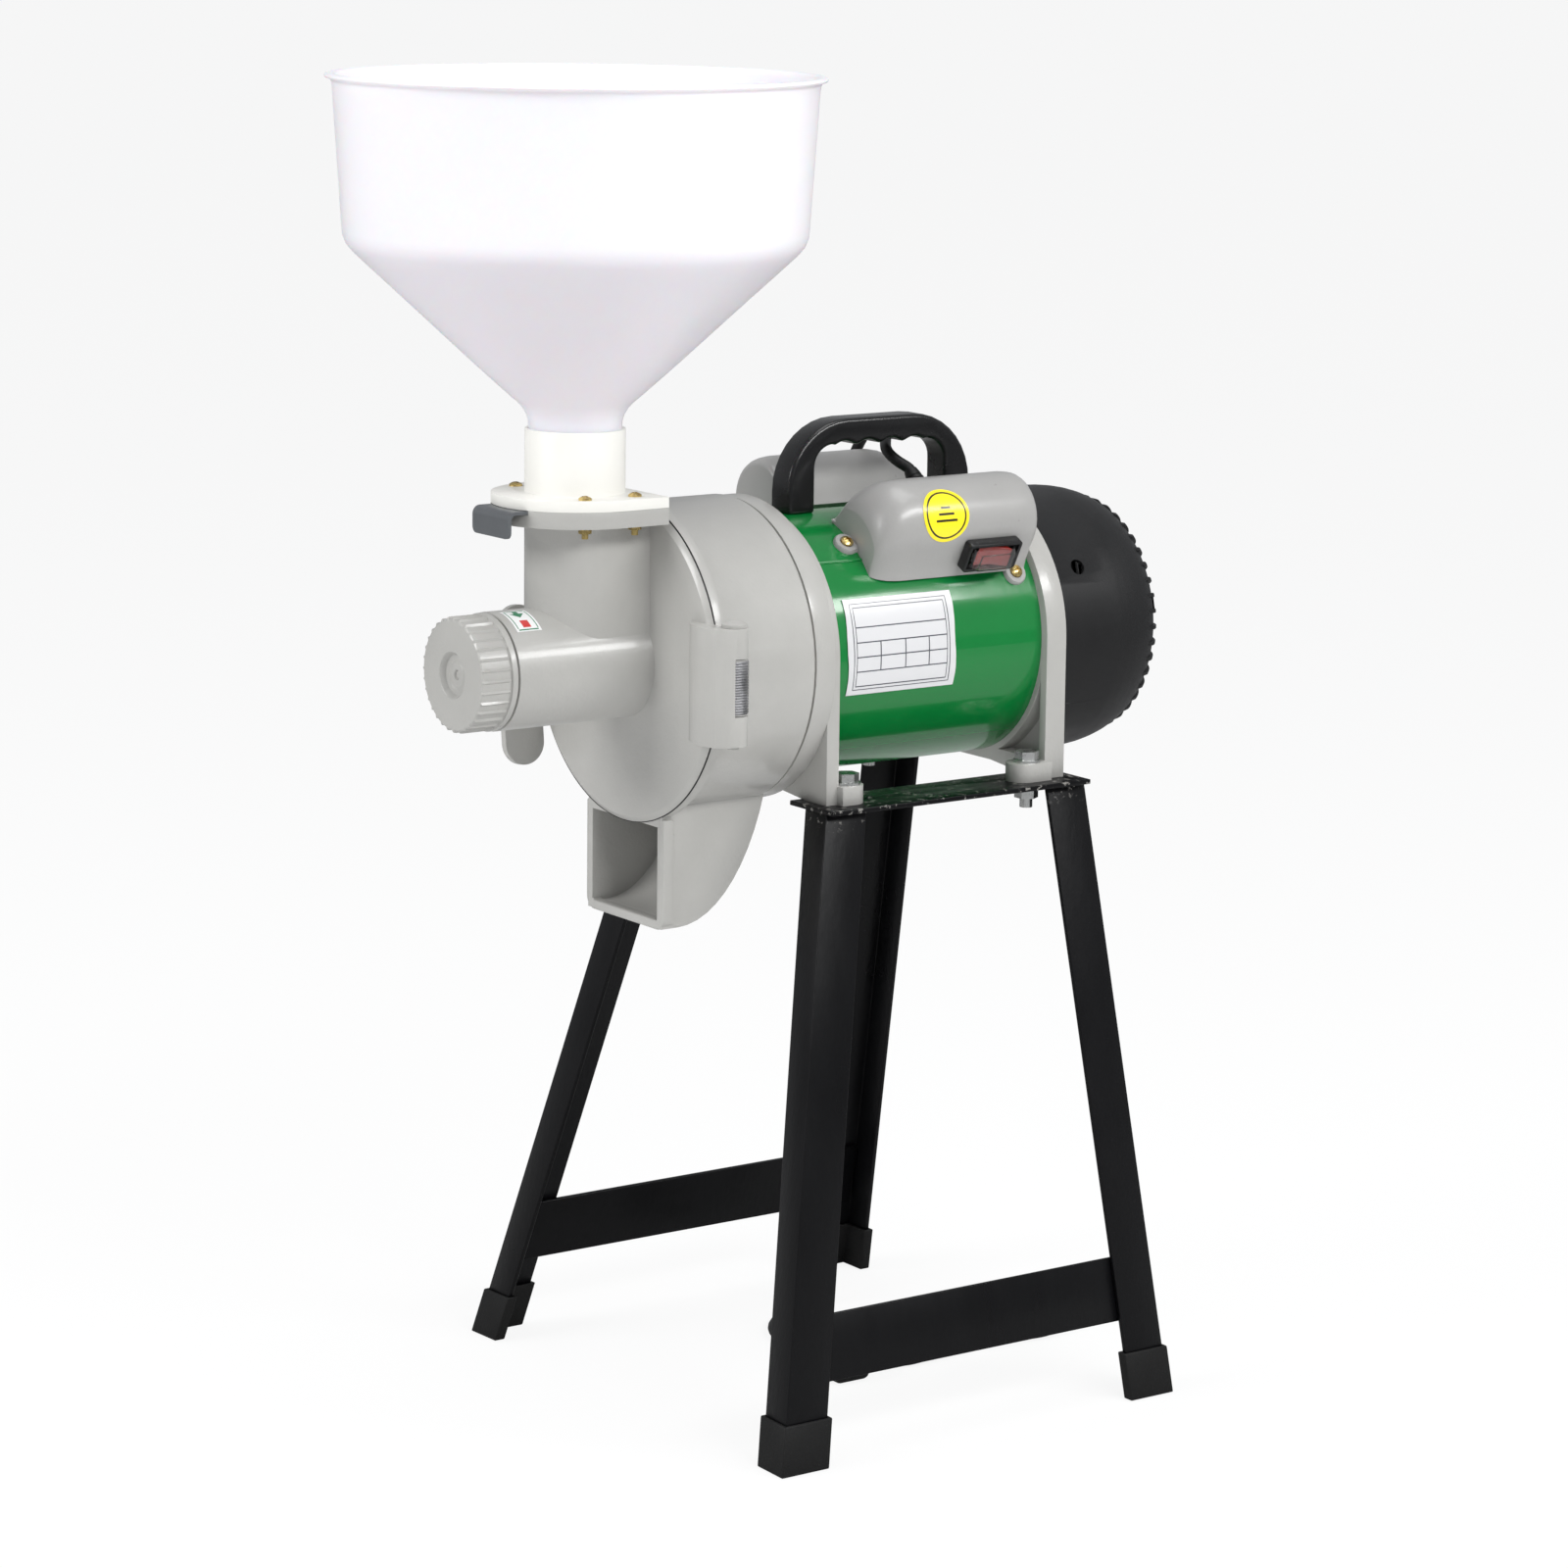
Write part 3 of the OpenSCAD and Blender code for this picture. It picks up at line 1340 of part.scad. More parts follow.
// Leans a piece along a leg: s is the side, and rear legs splay backwards
module at_leg(s, rear) {
    splay = rear ? rear_splay : front_splay;
    long = norm([side_splay, splay, leg_h]);
    translate([s * foot_x, rear ? rear_foot_y : front_foot_y, 0]) scale_side(s) scale_end(rear)
        rotate([-asin(splay / long), lean, 0]) children();
}

module scale_side(s) {
    if (s < 0) mirror([1, 0, 0]) children();
    else children();
}

module scale_end(rear) {
    if (rear) mirror([0, 1, 0]) children();
    else children();
}

// Keeps what lies between two heights above the floor
module between(z0, z1) {
    intersection() {
        children();
        translate([-2 * foot_x, front_foot_y - foot_x, z0])
            cube([4 * foot_x, rear_foot_y + 2 * foot_x, z1 - z0]);
    }
}

module leg(s, rear) {
    color([0.12, 0.12, 0.12]) placed() between(cap_floor, leg_h)
        at_leg(s, rear) translate([0, 0, -leg_h / 2]) linear_extrude(2 * leg_h) angle_section(0);
}

module front_left_leg() leg(-1, false);
module front_right_leg() leg(1, false);
module rear_left_leg() leg(-1, true);
module rear_right_leg() leg(1, true);

module crossbar(s) {
    y0 = front_foot_y + front_splay * (crossbar_z + crossbar_w) / leg_h + angle_t + cut;
    y1 = rear_foot_y - rear_splay * (crossbar_z + crossbar_w) / leg_h - angle_t - cut;
    color([0.12, 0.12, 0.12]) placed() translate([s * foot_x, 0, 0]) scale_side(s) rotate([0, lean, 0])
        translate([-2 * angle_t - fit_gap, y0, crossbar_z]) cube([angle_t, y1 - y0, crossbar_w]);
}

module left_crossbar() crossbar(-1);
module right_crossbar() crossbar(1);

module foot_caps() {
    color([0.08, 0.08, 0.08]) placed() for (s = [-1, 1], rear = [false, true]) difference() {
        between(0, cap_h) at_leg(s, rear) translate([0, 0, -cap_h]) linear_extrude(3 * cap_h)
            angle_section(cap_wall);
        between(cap_floor, 2 * cap_h) at_leg(s, rear) translate([0, 0, -cap_h]) linear_extrude(4 * cap_h)
            angle_section(slip_gap);
    }
}

// Cord

function unit(v) = v / norm(v);
function cross_of(p, i, n) = unit(p[min(i + 1, n)] - p[max(i - 1, 0)]);
function side_of(t) = abs(t[2]) > 0.98 ? unit(cross(t, [0, 1, 0])) : unit(cross(t, [0, 0, 1]));

// One ring of a tube: first and last rings stand square to ends that are given
function tube_ring(p, i, n, r, sides) = let (t = cross_of(p, i, n), u = side_of(t), v = cross(u, t))
    [for (k = [0:sides - 1]) let (a = 360 * (k + 0.5) / sides) p[i] + r * (cos(a) * u + sin(a) * v)];

module swept_tube(p, r, sides) {
    n = len(p) - 1;
    points = [for (i = [0:n]) each tube_ring(p, i, n, r, sides)];
    faces = concat(
        [[for (k = [0:sides - 1]) k]],
        [for (i = [0:n - 1], k = [0:sides - 1]) let (a = i * sides + k, b = i * sides + (k + 1) % sides)
            each [[a, a + sides, b], [b, a + sides, b + sides]]],
        [[for (k = [sides - 1:-1:0]) n * sides + k]]
    );
    polyhedron(points, faces);
}

module cord_gland() {
    collar = gland_len / 3;
    color([0.1, 0.1, 0.1]) placed() on_side(-1, gland_y) {
        translate([0, 0, slip_gap]) cylinder(h = collar, r = gland_r);
        translate([0, 0, collar]) cylinder(h = gland_len - collar - fit_gap, r1 = gland_r * 0.9, r2 =
            gland_r * 0.7);
        translate([0, 0, -collar]) cylinder(h = 2 * collar, r = cord_d / 2);
    }
}

module power_cord() color([0.08, 0.08, 0.08]) placed() swept_tube(cord_route, cord_d / 2, cord_sides);

// Radius of the hank's k-th run from its middle line
function run_r(k) = hank_r - hank_pitch * min(k, hank_halves - 2);
function run_side(k) = k % 2 == 0 ? -1 : 1;

// A point on the k-th run and its fold: s runs from 0 to 1 along the run and from 1 to 2 round the fold
function hank_point(k, s) = s <= 1 ? let (w = (1 - cos(360 * s)) / 2) [
    hank_x + run_side(k) * (run_r(k) - hank_pinch * w),
    run_side(k) < 0 ? hank_y + hank_run * s : hank_y + hank_run * (1 - s),
    cord_z + tie_t * w + (k == hank_halves - 2 ? layer * s : k == hank_halves - 1 ? layer : 0)
] : let (r = (run_r(k) + run_r(k + 1)) / 2, a = 180 * (s - 1)) [
    hank_x + run_side(k) * ((run_r(k) - run_r(k + 1)) / 2 + r * cos(a)),
    run_side(k) < 0 ? hank_y + hank_run + r * sin(a) : hank_y - r * sin(a),
    cord_z + (k >= hank_halves - 2 ? layer : 0)
];

hank_end = hank_point(hank_halves - 1, 1) - [0, hank_lead, 0];

function hank_path(steps) = concat(
    [for (k = [0:hank_halves - 2], i = [0:2 * steps - 1]) hank_point(k, i / steps)],
    [for (i = [0:steps]) hank_point(hank_halves - 1, i / steps)],
    [hank_end]
);

// Least clear gap between stretches of the hank that are not neighbours along it
fine = hank_path(4 * run_rings);
apart = 9;
function least_gap(i) = min([for (j = [i + apart:len(fine) - 1]) norm(fine[i] - fine[j])]);
echo(hank_gap = min([for (i = [0:len(fine) - 1 - apart]) least_gap(i)]) - cord_d);

module cord_hank() color([0.08, 0.08, 0.08]) placed()
    swept_tube(hank_path(run_rings), cord_d / 2, hank_sides);

module cord_tie() {
    half = hank_r - hank_pinch + cord_d / 2 + free_gap;
    top = cord_z + layer + tie_t + cord_d / 2 + free_gap;
    color("white") placed() translate([hank_x, hank_y + (hank_run + tie_w) / 2, 0]) rotate([90, 0, 0])
        linear_extrude(tie_w) difference() {
            rounded(-half - tie_t, fit_gap, half + tie_t, top + tie_t, 2 * tie_t);
            rounded(-half, fit_gap + tie_t - free_gap / 2, half, top, tie_t);
        }
}

module at_plug() {
    translate(hank_end) rotate([90, 0, 0]) children();
}

module plug_body() {
    color([0.08, 0.08, 0.08]) placed() at_plug() {
        cylinder(h = plug_len / 3, r1 = cord_d * 0.65, r2 = cord_d * 0.85);
        translate([0, 0, plug_len / 3]) linear_extrude(plug_len * 2 / 3)
            rounded(-plug_half_w, -plug_half_h, plug_half_w, plug_half_h, plug_half_h * 0.6);
    }
}

module plug_pins() {
    color("silver") placed() at_plug() translate([0, 0, plug_len]) {
        for (s = [-1, 1]) translate([s * blade_gap - blade_t / 2, -blade_w / 2, 0])
            cube([blade_t, blade_w, blade_len]);
        translate([0, -blade_w - earth_pin_r / 2, 0]) cylinder(h = blade_len, r = earth_pin_r);
    }
}

hopper();
feed_collar();
flange_screws();
flange_nuts();
gate_plate();
front_cover();
cover_seal();
fixed_disc();
disc_screws();
feed_auger();
adjusting_knob();
thrust_sleeve();
thrust_bush();
guide_screw();
hinge_pin();
latch_wing_bolt();
mill_housing();
housing_bolts();
shaft_seal();
rotating_disc();
disc_holder();
motor_shaft();
front_bearing();
rear_bearing();
front_bracket();
rear_bracket();
motor_barrel();
stator_core();
stator_windings();
rotor_core();
tie_rods();
cooling_fan();
fan_cover();
case_screws();
switch_box();
capacitor_box();
run_capacitor();
start_capacitor();
switch_bezel();
rocker_switch();
switch_boot();
carry_handle();
motor_bolts();
left_rail();
right_rail();
front_left_leg();
front_right_leg();
rear_left_leg();
rear_right_leg();
left_crossbar();
right_crossbar();
foot_caps();
nameplate();
cord_gland();
power_cord();
cord_hank();
cord_tie();
plug_body();
plug_pins();
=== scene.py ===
import json
import math

import bmesh
import bpy
from mathutils import Matrix, Vector

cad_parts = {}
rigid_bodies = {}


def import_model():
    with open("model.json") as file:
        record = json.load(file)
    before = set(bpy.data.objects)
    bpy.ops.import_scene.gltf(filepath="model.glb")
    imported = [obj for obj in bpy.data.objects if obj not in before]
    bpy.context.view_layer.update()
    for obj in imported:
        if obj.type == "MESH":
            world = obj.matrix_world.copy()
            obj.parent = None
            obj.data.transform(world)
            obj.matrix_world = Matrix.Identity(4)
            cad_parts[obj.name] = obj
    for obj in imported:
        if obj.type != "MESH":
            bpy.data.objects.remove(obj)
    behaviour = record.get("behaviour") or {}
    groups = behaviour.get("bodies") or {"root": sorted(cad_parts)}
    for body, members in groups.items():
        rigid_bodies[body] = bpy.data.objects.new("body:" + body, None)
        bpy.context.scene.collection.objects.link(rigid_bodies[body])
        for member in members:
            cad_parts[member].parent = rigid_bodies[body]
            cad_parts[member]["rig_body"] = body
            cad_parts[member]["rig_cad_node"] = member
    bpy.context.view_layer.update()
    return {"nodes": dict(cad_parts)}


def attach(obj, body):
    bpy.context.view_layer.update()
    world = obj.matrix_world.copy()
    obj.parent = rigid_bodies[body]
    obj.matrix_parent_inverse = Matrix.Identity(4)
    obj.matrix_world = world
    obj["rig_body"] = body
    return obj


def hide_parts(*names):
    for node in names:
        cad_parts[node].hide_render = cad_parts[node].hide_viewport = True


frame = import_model()

seam = -0.0868      # y of the seam between cover and housing
shaft = 0.466       # height of the motor shaft


def mm(x, y, z):
    return Vector((x, y, z)) / 1000 + Vector((0, seam, 0))


# camera at the photograph's viewpoint
eye = {"place": (2.39599, -1.67844, 0.94548), "turn": 54.502, "tilt": 79.988, "roll": 0.7, "lens": 111.255,
       "lift": -0.05}
bpy.ops.object.camera_add()
camera = bpy.context.object
camera.matrix_world = (Matrix.Translation(eye["place"]) @ Matrix.Rotation(math.radians(eye["turn"]), 4, "Z")
                       @ Matrix.Rotation(math.radians(eye["tilt"]), 4, "X")
                       @ Matrix.Rotation(math.radians(eye["roll"]), 4, "Z"))
camera.data.sensor_width = 36
camera.data.lens = eye["lens"]
camera.data.shift_y = eye["lift"]
bpy.context.scene.camera = camera
bpy.context.scene.view_settings.view_transform = "Standard"


# ways of working that every piece shares
def pick(*pieces):
    if bpy.context.object and bpy.context.object.mode != "OBJECT":
        bpy.ops.object.mode_set(mode="OBJECT")
    bpy.ops.object.select_all(action="DESELECT")
    for piece in pieces:
        piece.select_set(True)
    bpy.context.view_layer.objects.active = pieces[0]


def edit(piece, kind="FACE"):
    pick(piece)
    bpy.ops.object.mode_set(mode="EDIT")
    bpy.ops.mesh.select_mode(type=kind)
    bpy.ops.mesh.select_all(action="DESELECT")


def choose(piece, test, kind="FACE"):      # selects faces, edges or points by their place
    edit(piece, kind)
    work = bmesh.from_edit_mesh(piece.data)
    items = {"FACE": work.faces, "EDGE": work.edges, "VERT": work.verts}[kind]
    for item in items:
        if kind == "FACE":
            item.select = test(item.calc_center_median(), item.normal)
        elif kind == "EDGE":
            item.select = test(item.verts[0].co, item.verts[1].co)
        else:
            item.select = test(item.co)
    if kind != "FACE":
        work.select_flush(True)
    bmesh.update_edit_mesh(piece.data)


def settle(piece):      # leaves the object at the origin with its place in its mesh
    pick(piece)
    bpy.ops.object.transform_apply(location=True, rotation=True, scale=True)


def outward(piece):
    edit(piece)
    bpy.ops.mesh.select_all(action="SELECT")
    bpy.ops.mesh.remove_doubles(threshold=0.00001)
    bpy.ops.mesh.normals_make_consistent(inside=False)
    bpy.ops.object.mode_set(mode="OBJECT")


def modify(piece, kind, **values):
    pick(piece)
    bpy.ops.object.modifier_add(type=kind)
    modifier = piece.modifiers[-1]
    for key, value in values.items():
        setattr(modifier, key, value)
    bpy.ops.object.modifier_apply(modifier=modifier.name)


def smooth(piece, angle=35):
    pick(piece)
    bpy.ops.object.shade_smooth_by_angle(angle=math.radians(angle))


def soften(piece, width, segments=2, angle=32):      # rounds the sharp edges of a finished form
    modify(piece, "BEVEL", width=width, segments=segments, limit_method="ANGLE",
           angle_limit=math.radians(angle), use_clamp_overlap=True, harden_normals=False)


def fit(piece, name, body, look, finish, *nodes):
    piece.name = name
    piece.data.materials.clear()
    piece.data.materials.append(look)
    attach(piece, body)
    if nodes:
        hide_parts(*nodes)


def turned(rings, sides=64, cap=(True, True)):      # a form turned round Z from rings of radius and height
    bpy.ops.mesh.primitive_circle_add(vertices=sides, radius=rings[0][0], location=(0, 0, rings[0][1]))
    piece = bpy.context.object
    settle(piece)
    bpy.ops.object.mode_set(mode="EDIT")
    bpy.ops.mesh.select_mode(type="EDGE")
    bpy.ops.mesh.select_all(action="SELECT")
    for (r0, z0), (r1, z1) in zip(rings, rings[1:]):
        bpy.ops.mesh.extrude_edges_move(TRANSFORM_OT_translate={"value": (0, 0, z1 - z0)})
        if abs(r1 - r0) > 1e-9:
            bpy.ops.transform.resize(value=(r1 / r0, r1 / r0, 1), center_override=(0, 0, z1))
    if cap[1]:
        bpy.ops.mesh.edge_face_add()
    if cap[0]:
        bpy.ops.mesh.select_all(action="DESELECT")
        bpy.ops.mesh.select_non_manifold(extend=False)
        bpy.ops.mesh.edge_face_add()
    bpy.ops.object.mode_set(mode="OBJECT")
    return piece


def turnedMm(rings, sides, cap=(True, True)):      # the same, from rings in millimetres
    return turned([(r / 1000, z / 1000) for r, z in rings], sides, cap)


def closeRings(piece):      # joins the first and last rings of an open turned wall
    edit(piece, "EDGE")
    bpy.ops.mesh.select_non_manifold(extend=False)
    bpy.ops.mesh.bridge_edge_loops()
    bpy.ops.object.mode_set(mode="OBJECT")
    outward(piece)


def layAlong(piece, y):      # turns a form's Z to run back along the shaft from y
    piece.rotation_euler = (math.radians(-90), 0, 0)
    piece.location = mm(0, y, shaft * 1000)
    settle(piece)


def castCopy(node, width, angle=32, segments=2, weld=0.00002):      # a node's form with softened edges
    pick(frame["nodes"][node])
    bpy.ops.object.duplicate()
    piece = bpy.context.object
    bpy.ops.object.parent_clear(type="CLEAR_KEEP_TRANSFORM")
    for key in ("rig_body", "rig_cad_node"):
        if key in piece:
            del piece[key]
    edit(piece)
    bpy.ops.mesh.select_all(action="SELECT")
    bpy.ops.mesh.remove_doubles(threshold=weld)
    bpy.ops.mesh.dissolve_limited(angle_limit=math.radians(0.6))
    bpy.ops.object.mode_set(mode="OBJECT")
    soften(piece, width, segments, angle)
    smooth(piece, 38)
    return piece


# materials
def newLook(name, color, rough, metal=0.0, coat=0.0, coatRough=0.1, specular=0.5, **more):
    look = bpy.data.materials.new(name)
    look.use_nodes = True
    shader = look.node_tree.nodes["Principled BSDF"]
    shader.inputs["Base Color"].default_value = (*color, 1)
    shader.inputs["Roughness"].default_value = rough
    shader.inputs["Metallic"].default_value = metal
    shader.inputs["Coat Weight"].default_value = coat
    shader.inputs["Coat Roughness"].default_value = coatRough
    shader.inputs["Specular IOR Level"].default_value = specular
    for key, value in more.items():
        shader.inputs[key].default_value = value
    return look


def add(look, kind, **values):
    node = look.node_tree.nodes.new(kind)
    for key, value in values.items():
        if key in node.inputs:
            node.inputs[key].default_value = value
        else:
            setattr(node, key, value)
    return node


def wire(look, source, target):
    look.node_tree.links.new(source, target)


def feed(look, socket, source):      # a socket takes another node's output, or else a value
    if hasattr(source, "links"):
        wire(look, source, socket)
    else:
        socket.default_value = source


def maths(look, does, *sources):
    node = add(look, "ShaderNodeMath", operation=does)
    for socket, source in zip(node.inputs, sources):
        feed(look, socket, source)
    return node.outputs[0]


def ranged(look, value, old, new=(0, 1)):      # carries a value from one range to another
    node = add(look, "ShaderNodeMapRange")
    for key, limit in zip(("From Min", "From Max", "To Min", "To Max"), (*old, *new)):
        node.inputs[key].default_value = limit
    wire(look, value, node.inputs["Value"])
    return node.outputs["Result"]


def blend(look, factor, under, over, how="MIX"):      # mixes two colours
    mix = add(look, "ShaderNodeMix", data_type="RGBA", blend_type=how)
    wire(look, factor, mix.inputs["Factor"])
    feed(look, mix.inputs["A"], under)
    feed(look, mix.inputs["B"], over)
    return mix.outputs["Result"]


def overlay(look, factor, color, how="MIX"):      # lays a colour over what reaches the base colour
    base = look.node_tree.nodes["Principled BSDF"].inputs["Base Color"]
    wire(look, blend(look, factor, base.links[0].from_socket, color, how), base)


def axes(look, place):
    node = add(look, "ShaderNodeSeparateXYZ")
    wire(look, place, node.inputs[0])
    return node.outputs


def ownPlace(look):      # the piece's own coordinates
    return add(look, "ShaderNodeTexCoord").outputs["Object"]


def noise(look, place, scale, detail, rough=0.5):
    node = add(look, "ShaderNodeTexNoise", Scale=scale, Detail=detail, Roughness=rough)
    wire(look, place, node.inputs["Vector"])
    return node.outputs["Fac"]


def bumped(look, height, strength, depth):
    bump = add(look, "ShaderNodeBump", Strength=strength, Distance=depth)
    wire(look, height, bump.inputs["Height"])
    wire(look, bump.outputs["Normal"], look.node_tree.nodes["Principled BSDF"].inputs["Normal"])


def surface(name, color, rough, spread, scale, depth, bumpScale, gloss, stretch=(1, 1, 1), **more):
    # colour and gloss drift slowly, over a fine bump
    look = newLook(name, color, rough, **more)
    shader = look.node_tree.nodes["Principled BSDF"]
    stretched = add(look, "ShaderNodeMapping", Scale=stretch)
    wire(look, ownPlace(look), stretched.inputs["Vector"])
    drift = noise(look, stretched.outputs["Vector"], scale, 4.0, 0.6)
    ramp = add(look, "ShaderNodeValToRGB")
    ends = ramp.color_ramp.elements
    ends[0].position, ends[1].position = 0.3, 0.72
    ends[0].color = (*[c * (1 - spread) for c in color], 1)
    ends[1].color = (*[min(1, c * (1 + spread)) for c in color], 1)
    wire(look, drift, ramp.inputs["Fac"])
    wire(look, ramp.outputs["Color"], shader.inputs["Base Color"])
    bumped(look, noise(look, stretched.outputs["Vector"], bumpScale, 3.0, 0.55), 1.0, depth)
    wire(look, ranged(look, drift, (0.3, 0.7), gloss), shader.inputs["Roughness"])
    return look


def tone(r, g, b):      # a colour as seen, turned to the linear values that shaders use
    return tuple(((c / 255) / 12.92 if c < 10.3 else ((c / 255 + 0.055) / 1.055) ** 2.4) for c in (r, g, b))


castGrey = tone(173, 172, 168)
boxGrey = tone(160, 159, 157)
greyEnamel = surface("greyEnamel", castGrey, 0.36, 0.04, 22, 0.00018, 420, (0.3, 0.4), specular=0.55,
                     coat=0.45, coatRough=0.13)
boxMoulding = surface("boxMoulding", boxGrey, 0.3, 0.03, 26, 0.00008, 500, (0.26, 0.36), specular=0.5,
                      coat=0.25, coatRough=0.18)
milk = (0.82, 0.813, 0.848)
milky = surface("milkyPolyethylene", milk, 0.32, 0.012, 9, 0.00006, 160, (0.28, 0.36), specular=0.4,
                **{"Subsurface Weight": 0.25, "Subsurface Scale": 0.008})
# painted shade: the cone is coloured greyer than the wall above it
coneShade = {"high": 0.7235, "low": 0.714, "shadeTone": (0.885, 0.88, 0.895, 1)}
milkyHeight = axes(milky, ownPlace(milky))["Z"]
overlay(milky, ranged(milky, milkyHeight, (coneShade["high"], coneShade["low"])), coneShade["shadeTone"],
        "MULTIPLY")
ivoryNylon = surface("ivoryNylon", (0.8, 0.79, 0.745), 0.42, 0.015, 30, 0.00005, 300, (0.38, 0.48))
greenEnamel = surface("greenEnamel", tone(8, 118, 52), 0.16, 0.03, 12, 0.00012, 45, (0.13, 0.2),
                      specular=0.5, coat=0.4, coatRough=0.05)
mattBlack = surface("mattBlackMoulding", tone(24, 24, 25), 0.46, 0.08, 40, 0.00012, 1500, (0.4, 0.5),
                    specular=0.3)
glossBlack = surface("glossBlackMoulding", tone(16, 16, 17), 0.24, 0.08, 30, 0.00006, 700, (0.22, 0.3),
                     specular=0.4, coat=0.2, coatRough=0.12)
blackPaint = surface("blackStovedPaint", tone(10, 10, 12), 0.34, 0.2, 18, 0.00016, 260, (0.26, 0.42),
                     stretch=(1, 1, 0.35), specular=0.2)
capRubber = surface("capRubber", tone(18, 18, 18), 0.6, 0.12, 60, 0.0002, 600, (0.55, 0.7), specular=0.25)
cordRubber = surface("cordSheath", tone(16, 16, 16), 0.48, 0.1, 50, 0.00008, 500, (0.42, 0.55),
                     specular=0.3)
yellowZinc = surface("yellowZinc", (0.66, 0.5, 0.2), 0.26, 0.22, 260, 0.00004, 900, (0.2, 0.36), metal=1.0)
brightZinc = surface("brightZinc", (0.62, 0.63, 0.62), 0.28, 0.1, 200, 0.00005, 800, (0.22, 0.38),
                     metal=1.0)
groundSteel = surface("groundSteel", (0.5, 0.5, 0.51), 0.3, 0.08, 90, 0.00005, 400, (0.24, 0.4),
                      stretch=(1, 0.08, 1), metal=1.0)
darkSheet = surface("darkSheet", tone(98, 101, 104), 0.36, 0.06, 40, 0.00006, 420, (0.3, 0.44),
                    stretch=(1, 0.3, 1), metal=0.25)
bareIron = surface("bareIron", (0.2, 0.2, 0.2), 0.55, 0.2, 70, 0.0003, 380, (0.45, 0.65), metal=0.9)
sinteredBronze = surface("sinteredBronze", (0.5, 0.32, 0.12), 0.42, 0.12, 220, 0.0001, 1200, (0.35, 0.5),
                         metal=1.0)
lamination = surface("laminatedSteel", (0.26, 0.26, 0.27), 0.45, 0.25, 60, 0.0003, 900, (0.38, 0.55),
                     stretch=(0.05, 3, 0.05), metal=0.9)
copperWire = surface("varnishedCopper", (0.5, 0.2, 0.07), 0.3, 0.25, 120, 0.0006, 420, (0.25, 0.4),
                     stretch=(0.4, 3, 0.4), metal=0.8, coat=0.4)
canAluminium = surface("drawnCan", (0.72, 0.72, 0.73), 0.34, 0.06, 60, 0.00005, 300, (0.28, 0.42),
                       stretch=(1, 0.1, 1), metal=1.0)
sealRubber = surface("sealRubber", tone(24, 24, 24), 0.6, 0.1, 60, 0.0001, 500, (0.5, 0.68), specular=0.3)
pinBrass = surface("pinBrass", (0.7, 0.5, 0.2), 0.28, 0.08, 150, 0.00003, 500, (0.22, 0.36), metal=1.0)
tieWhite = surface("tieNylon", (0.8, 0.8, 0.78), 0.4, 0.03, 80, 0.00006, 600, (0.34, 0.46))
redLens = surface("redLens", (0.26, 0.016, 0.01), 0.24, 0.12, 120, 0.00005, 400, (0.16, 0.26), coat=0.3,
                  coatRough=0.1)
clearBoot = surface("clearBoot", (0.97, 0.97, 0.98), 0.05, 0.015, 60, 0.00003, 200, (0.02, 0.07),
                    specular=0.3, **{"Transmission Weight": 1.0, "IOR": 1.42})
ribSteel = surface("ribSteel", (0.36, 0.36, 0.37), 0.36, 0.25, 90, 0.0001, 500, (0.28, 0.5), metal=1.0)

# scraped paint where the stand's iron meets near the top
scraped = {"low": 0.3655, "high": 0.3765, "share": 0.6, "scale": 210.0, "detail": 5.0, "rough": 0.7,
           "tone": (128, 126, 122)}
paintPlace = ownPlace(blackPaint)
scrapeRise = ranged(blackPaint, axes(blackPaint, paintPlace)["Z"], (scraped["low"], scraped["high"]))
spots = noise(blackPaint, paintPlace, scraped["scale"], scraped["detail"], scraped["rough"])
bareSpots = maths(blackPaint, "GREATER_THAN", spots, scraped["share"])
overlay(blackPaint, maths(blackPaint, "MULTIPLY", scrapeRise, bareSpots), (*tone(*scraped["tone"]), 1))
print("materials made")

# power cord and its put-away length, one curve from the strain relief to the plug
cordFacts = {"thick": 0.007, "x": 14, "y": 195, "run": 105, "pitch": 3.9, "reach": 29.3, "pinch": 10,
             "halves": 4, "layer": 7.6, "low": 3.6, "tie": 1.2, "lead": 28, "steps": 14, "exit": 199,
             "relief": 13.9}
nearBox = {"x": 57, "z": 78, "y0": 133, "y1": 250, "foot": 83.3, "spread": 18, "crown": 26, "wall": 3}
farBox = {"x": -50, "z": 82, "y0": 130, "y1": 237.4}


def boxSide(side, y, out):      # a point outside the near box's flat side, in millimetres
    box, spread = nearBox, math.radians(nearBox["spread"])
    foot = (box["foot"] * math.sin(spread), box["foot"] * math.cos(spread))
    far = math.hypot(box["x"], box["z"])
    dx, dz = -foot[0], far - foot[1]
    slope = math.atan2(dz, dx) - math.asin((box["crown"] - box["wall"]) / math.hypot(dx, dz)) - math.pi / 2
    mx = (foot[0] + (box["wall"] + box["crown"]) * math.cos(slope)) / 2
    mz = (foot[1] + far + (box["wall"] + box["crown"]) * math.sin(slope)) / 2
    x, z = side * (mx + out * math.cos(slope)), mz + out * math.sin(slope)
    tilt = math.atan2(box["x"], box["z"])
    return (x * math.cos(tilt) + z * math.sin(tilt), y,
            shaft * 1000 + z * math.cos(tilt) - x * math.sin(tilt))


def exitPoint(out):      # on the line along which the cord leaves the box
    return boxSide(-1, cordFacts["exit"], out)


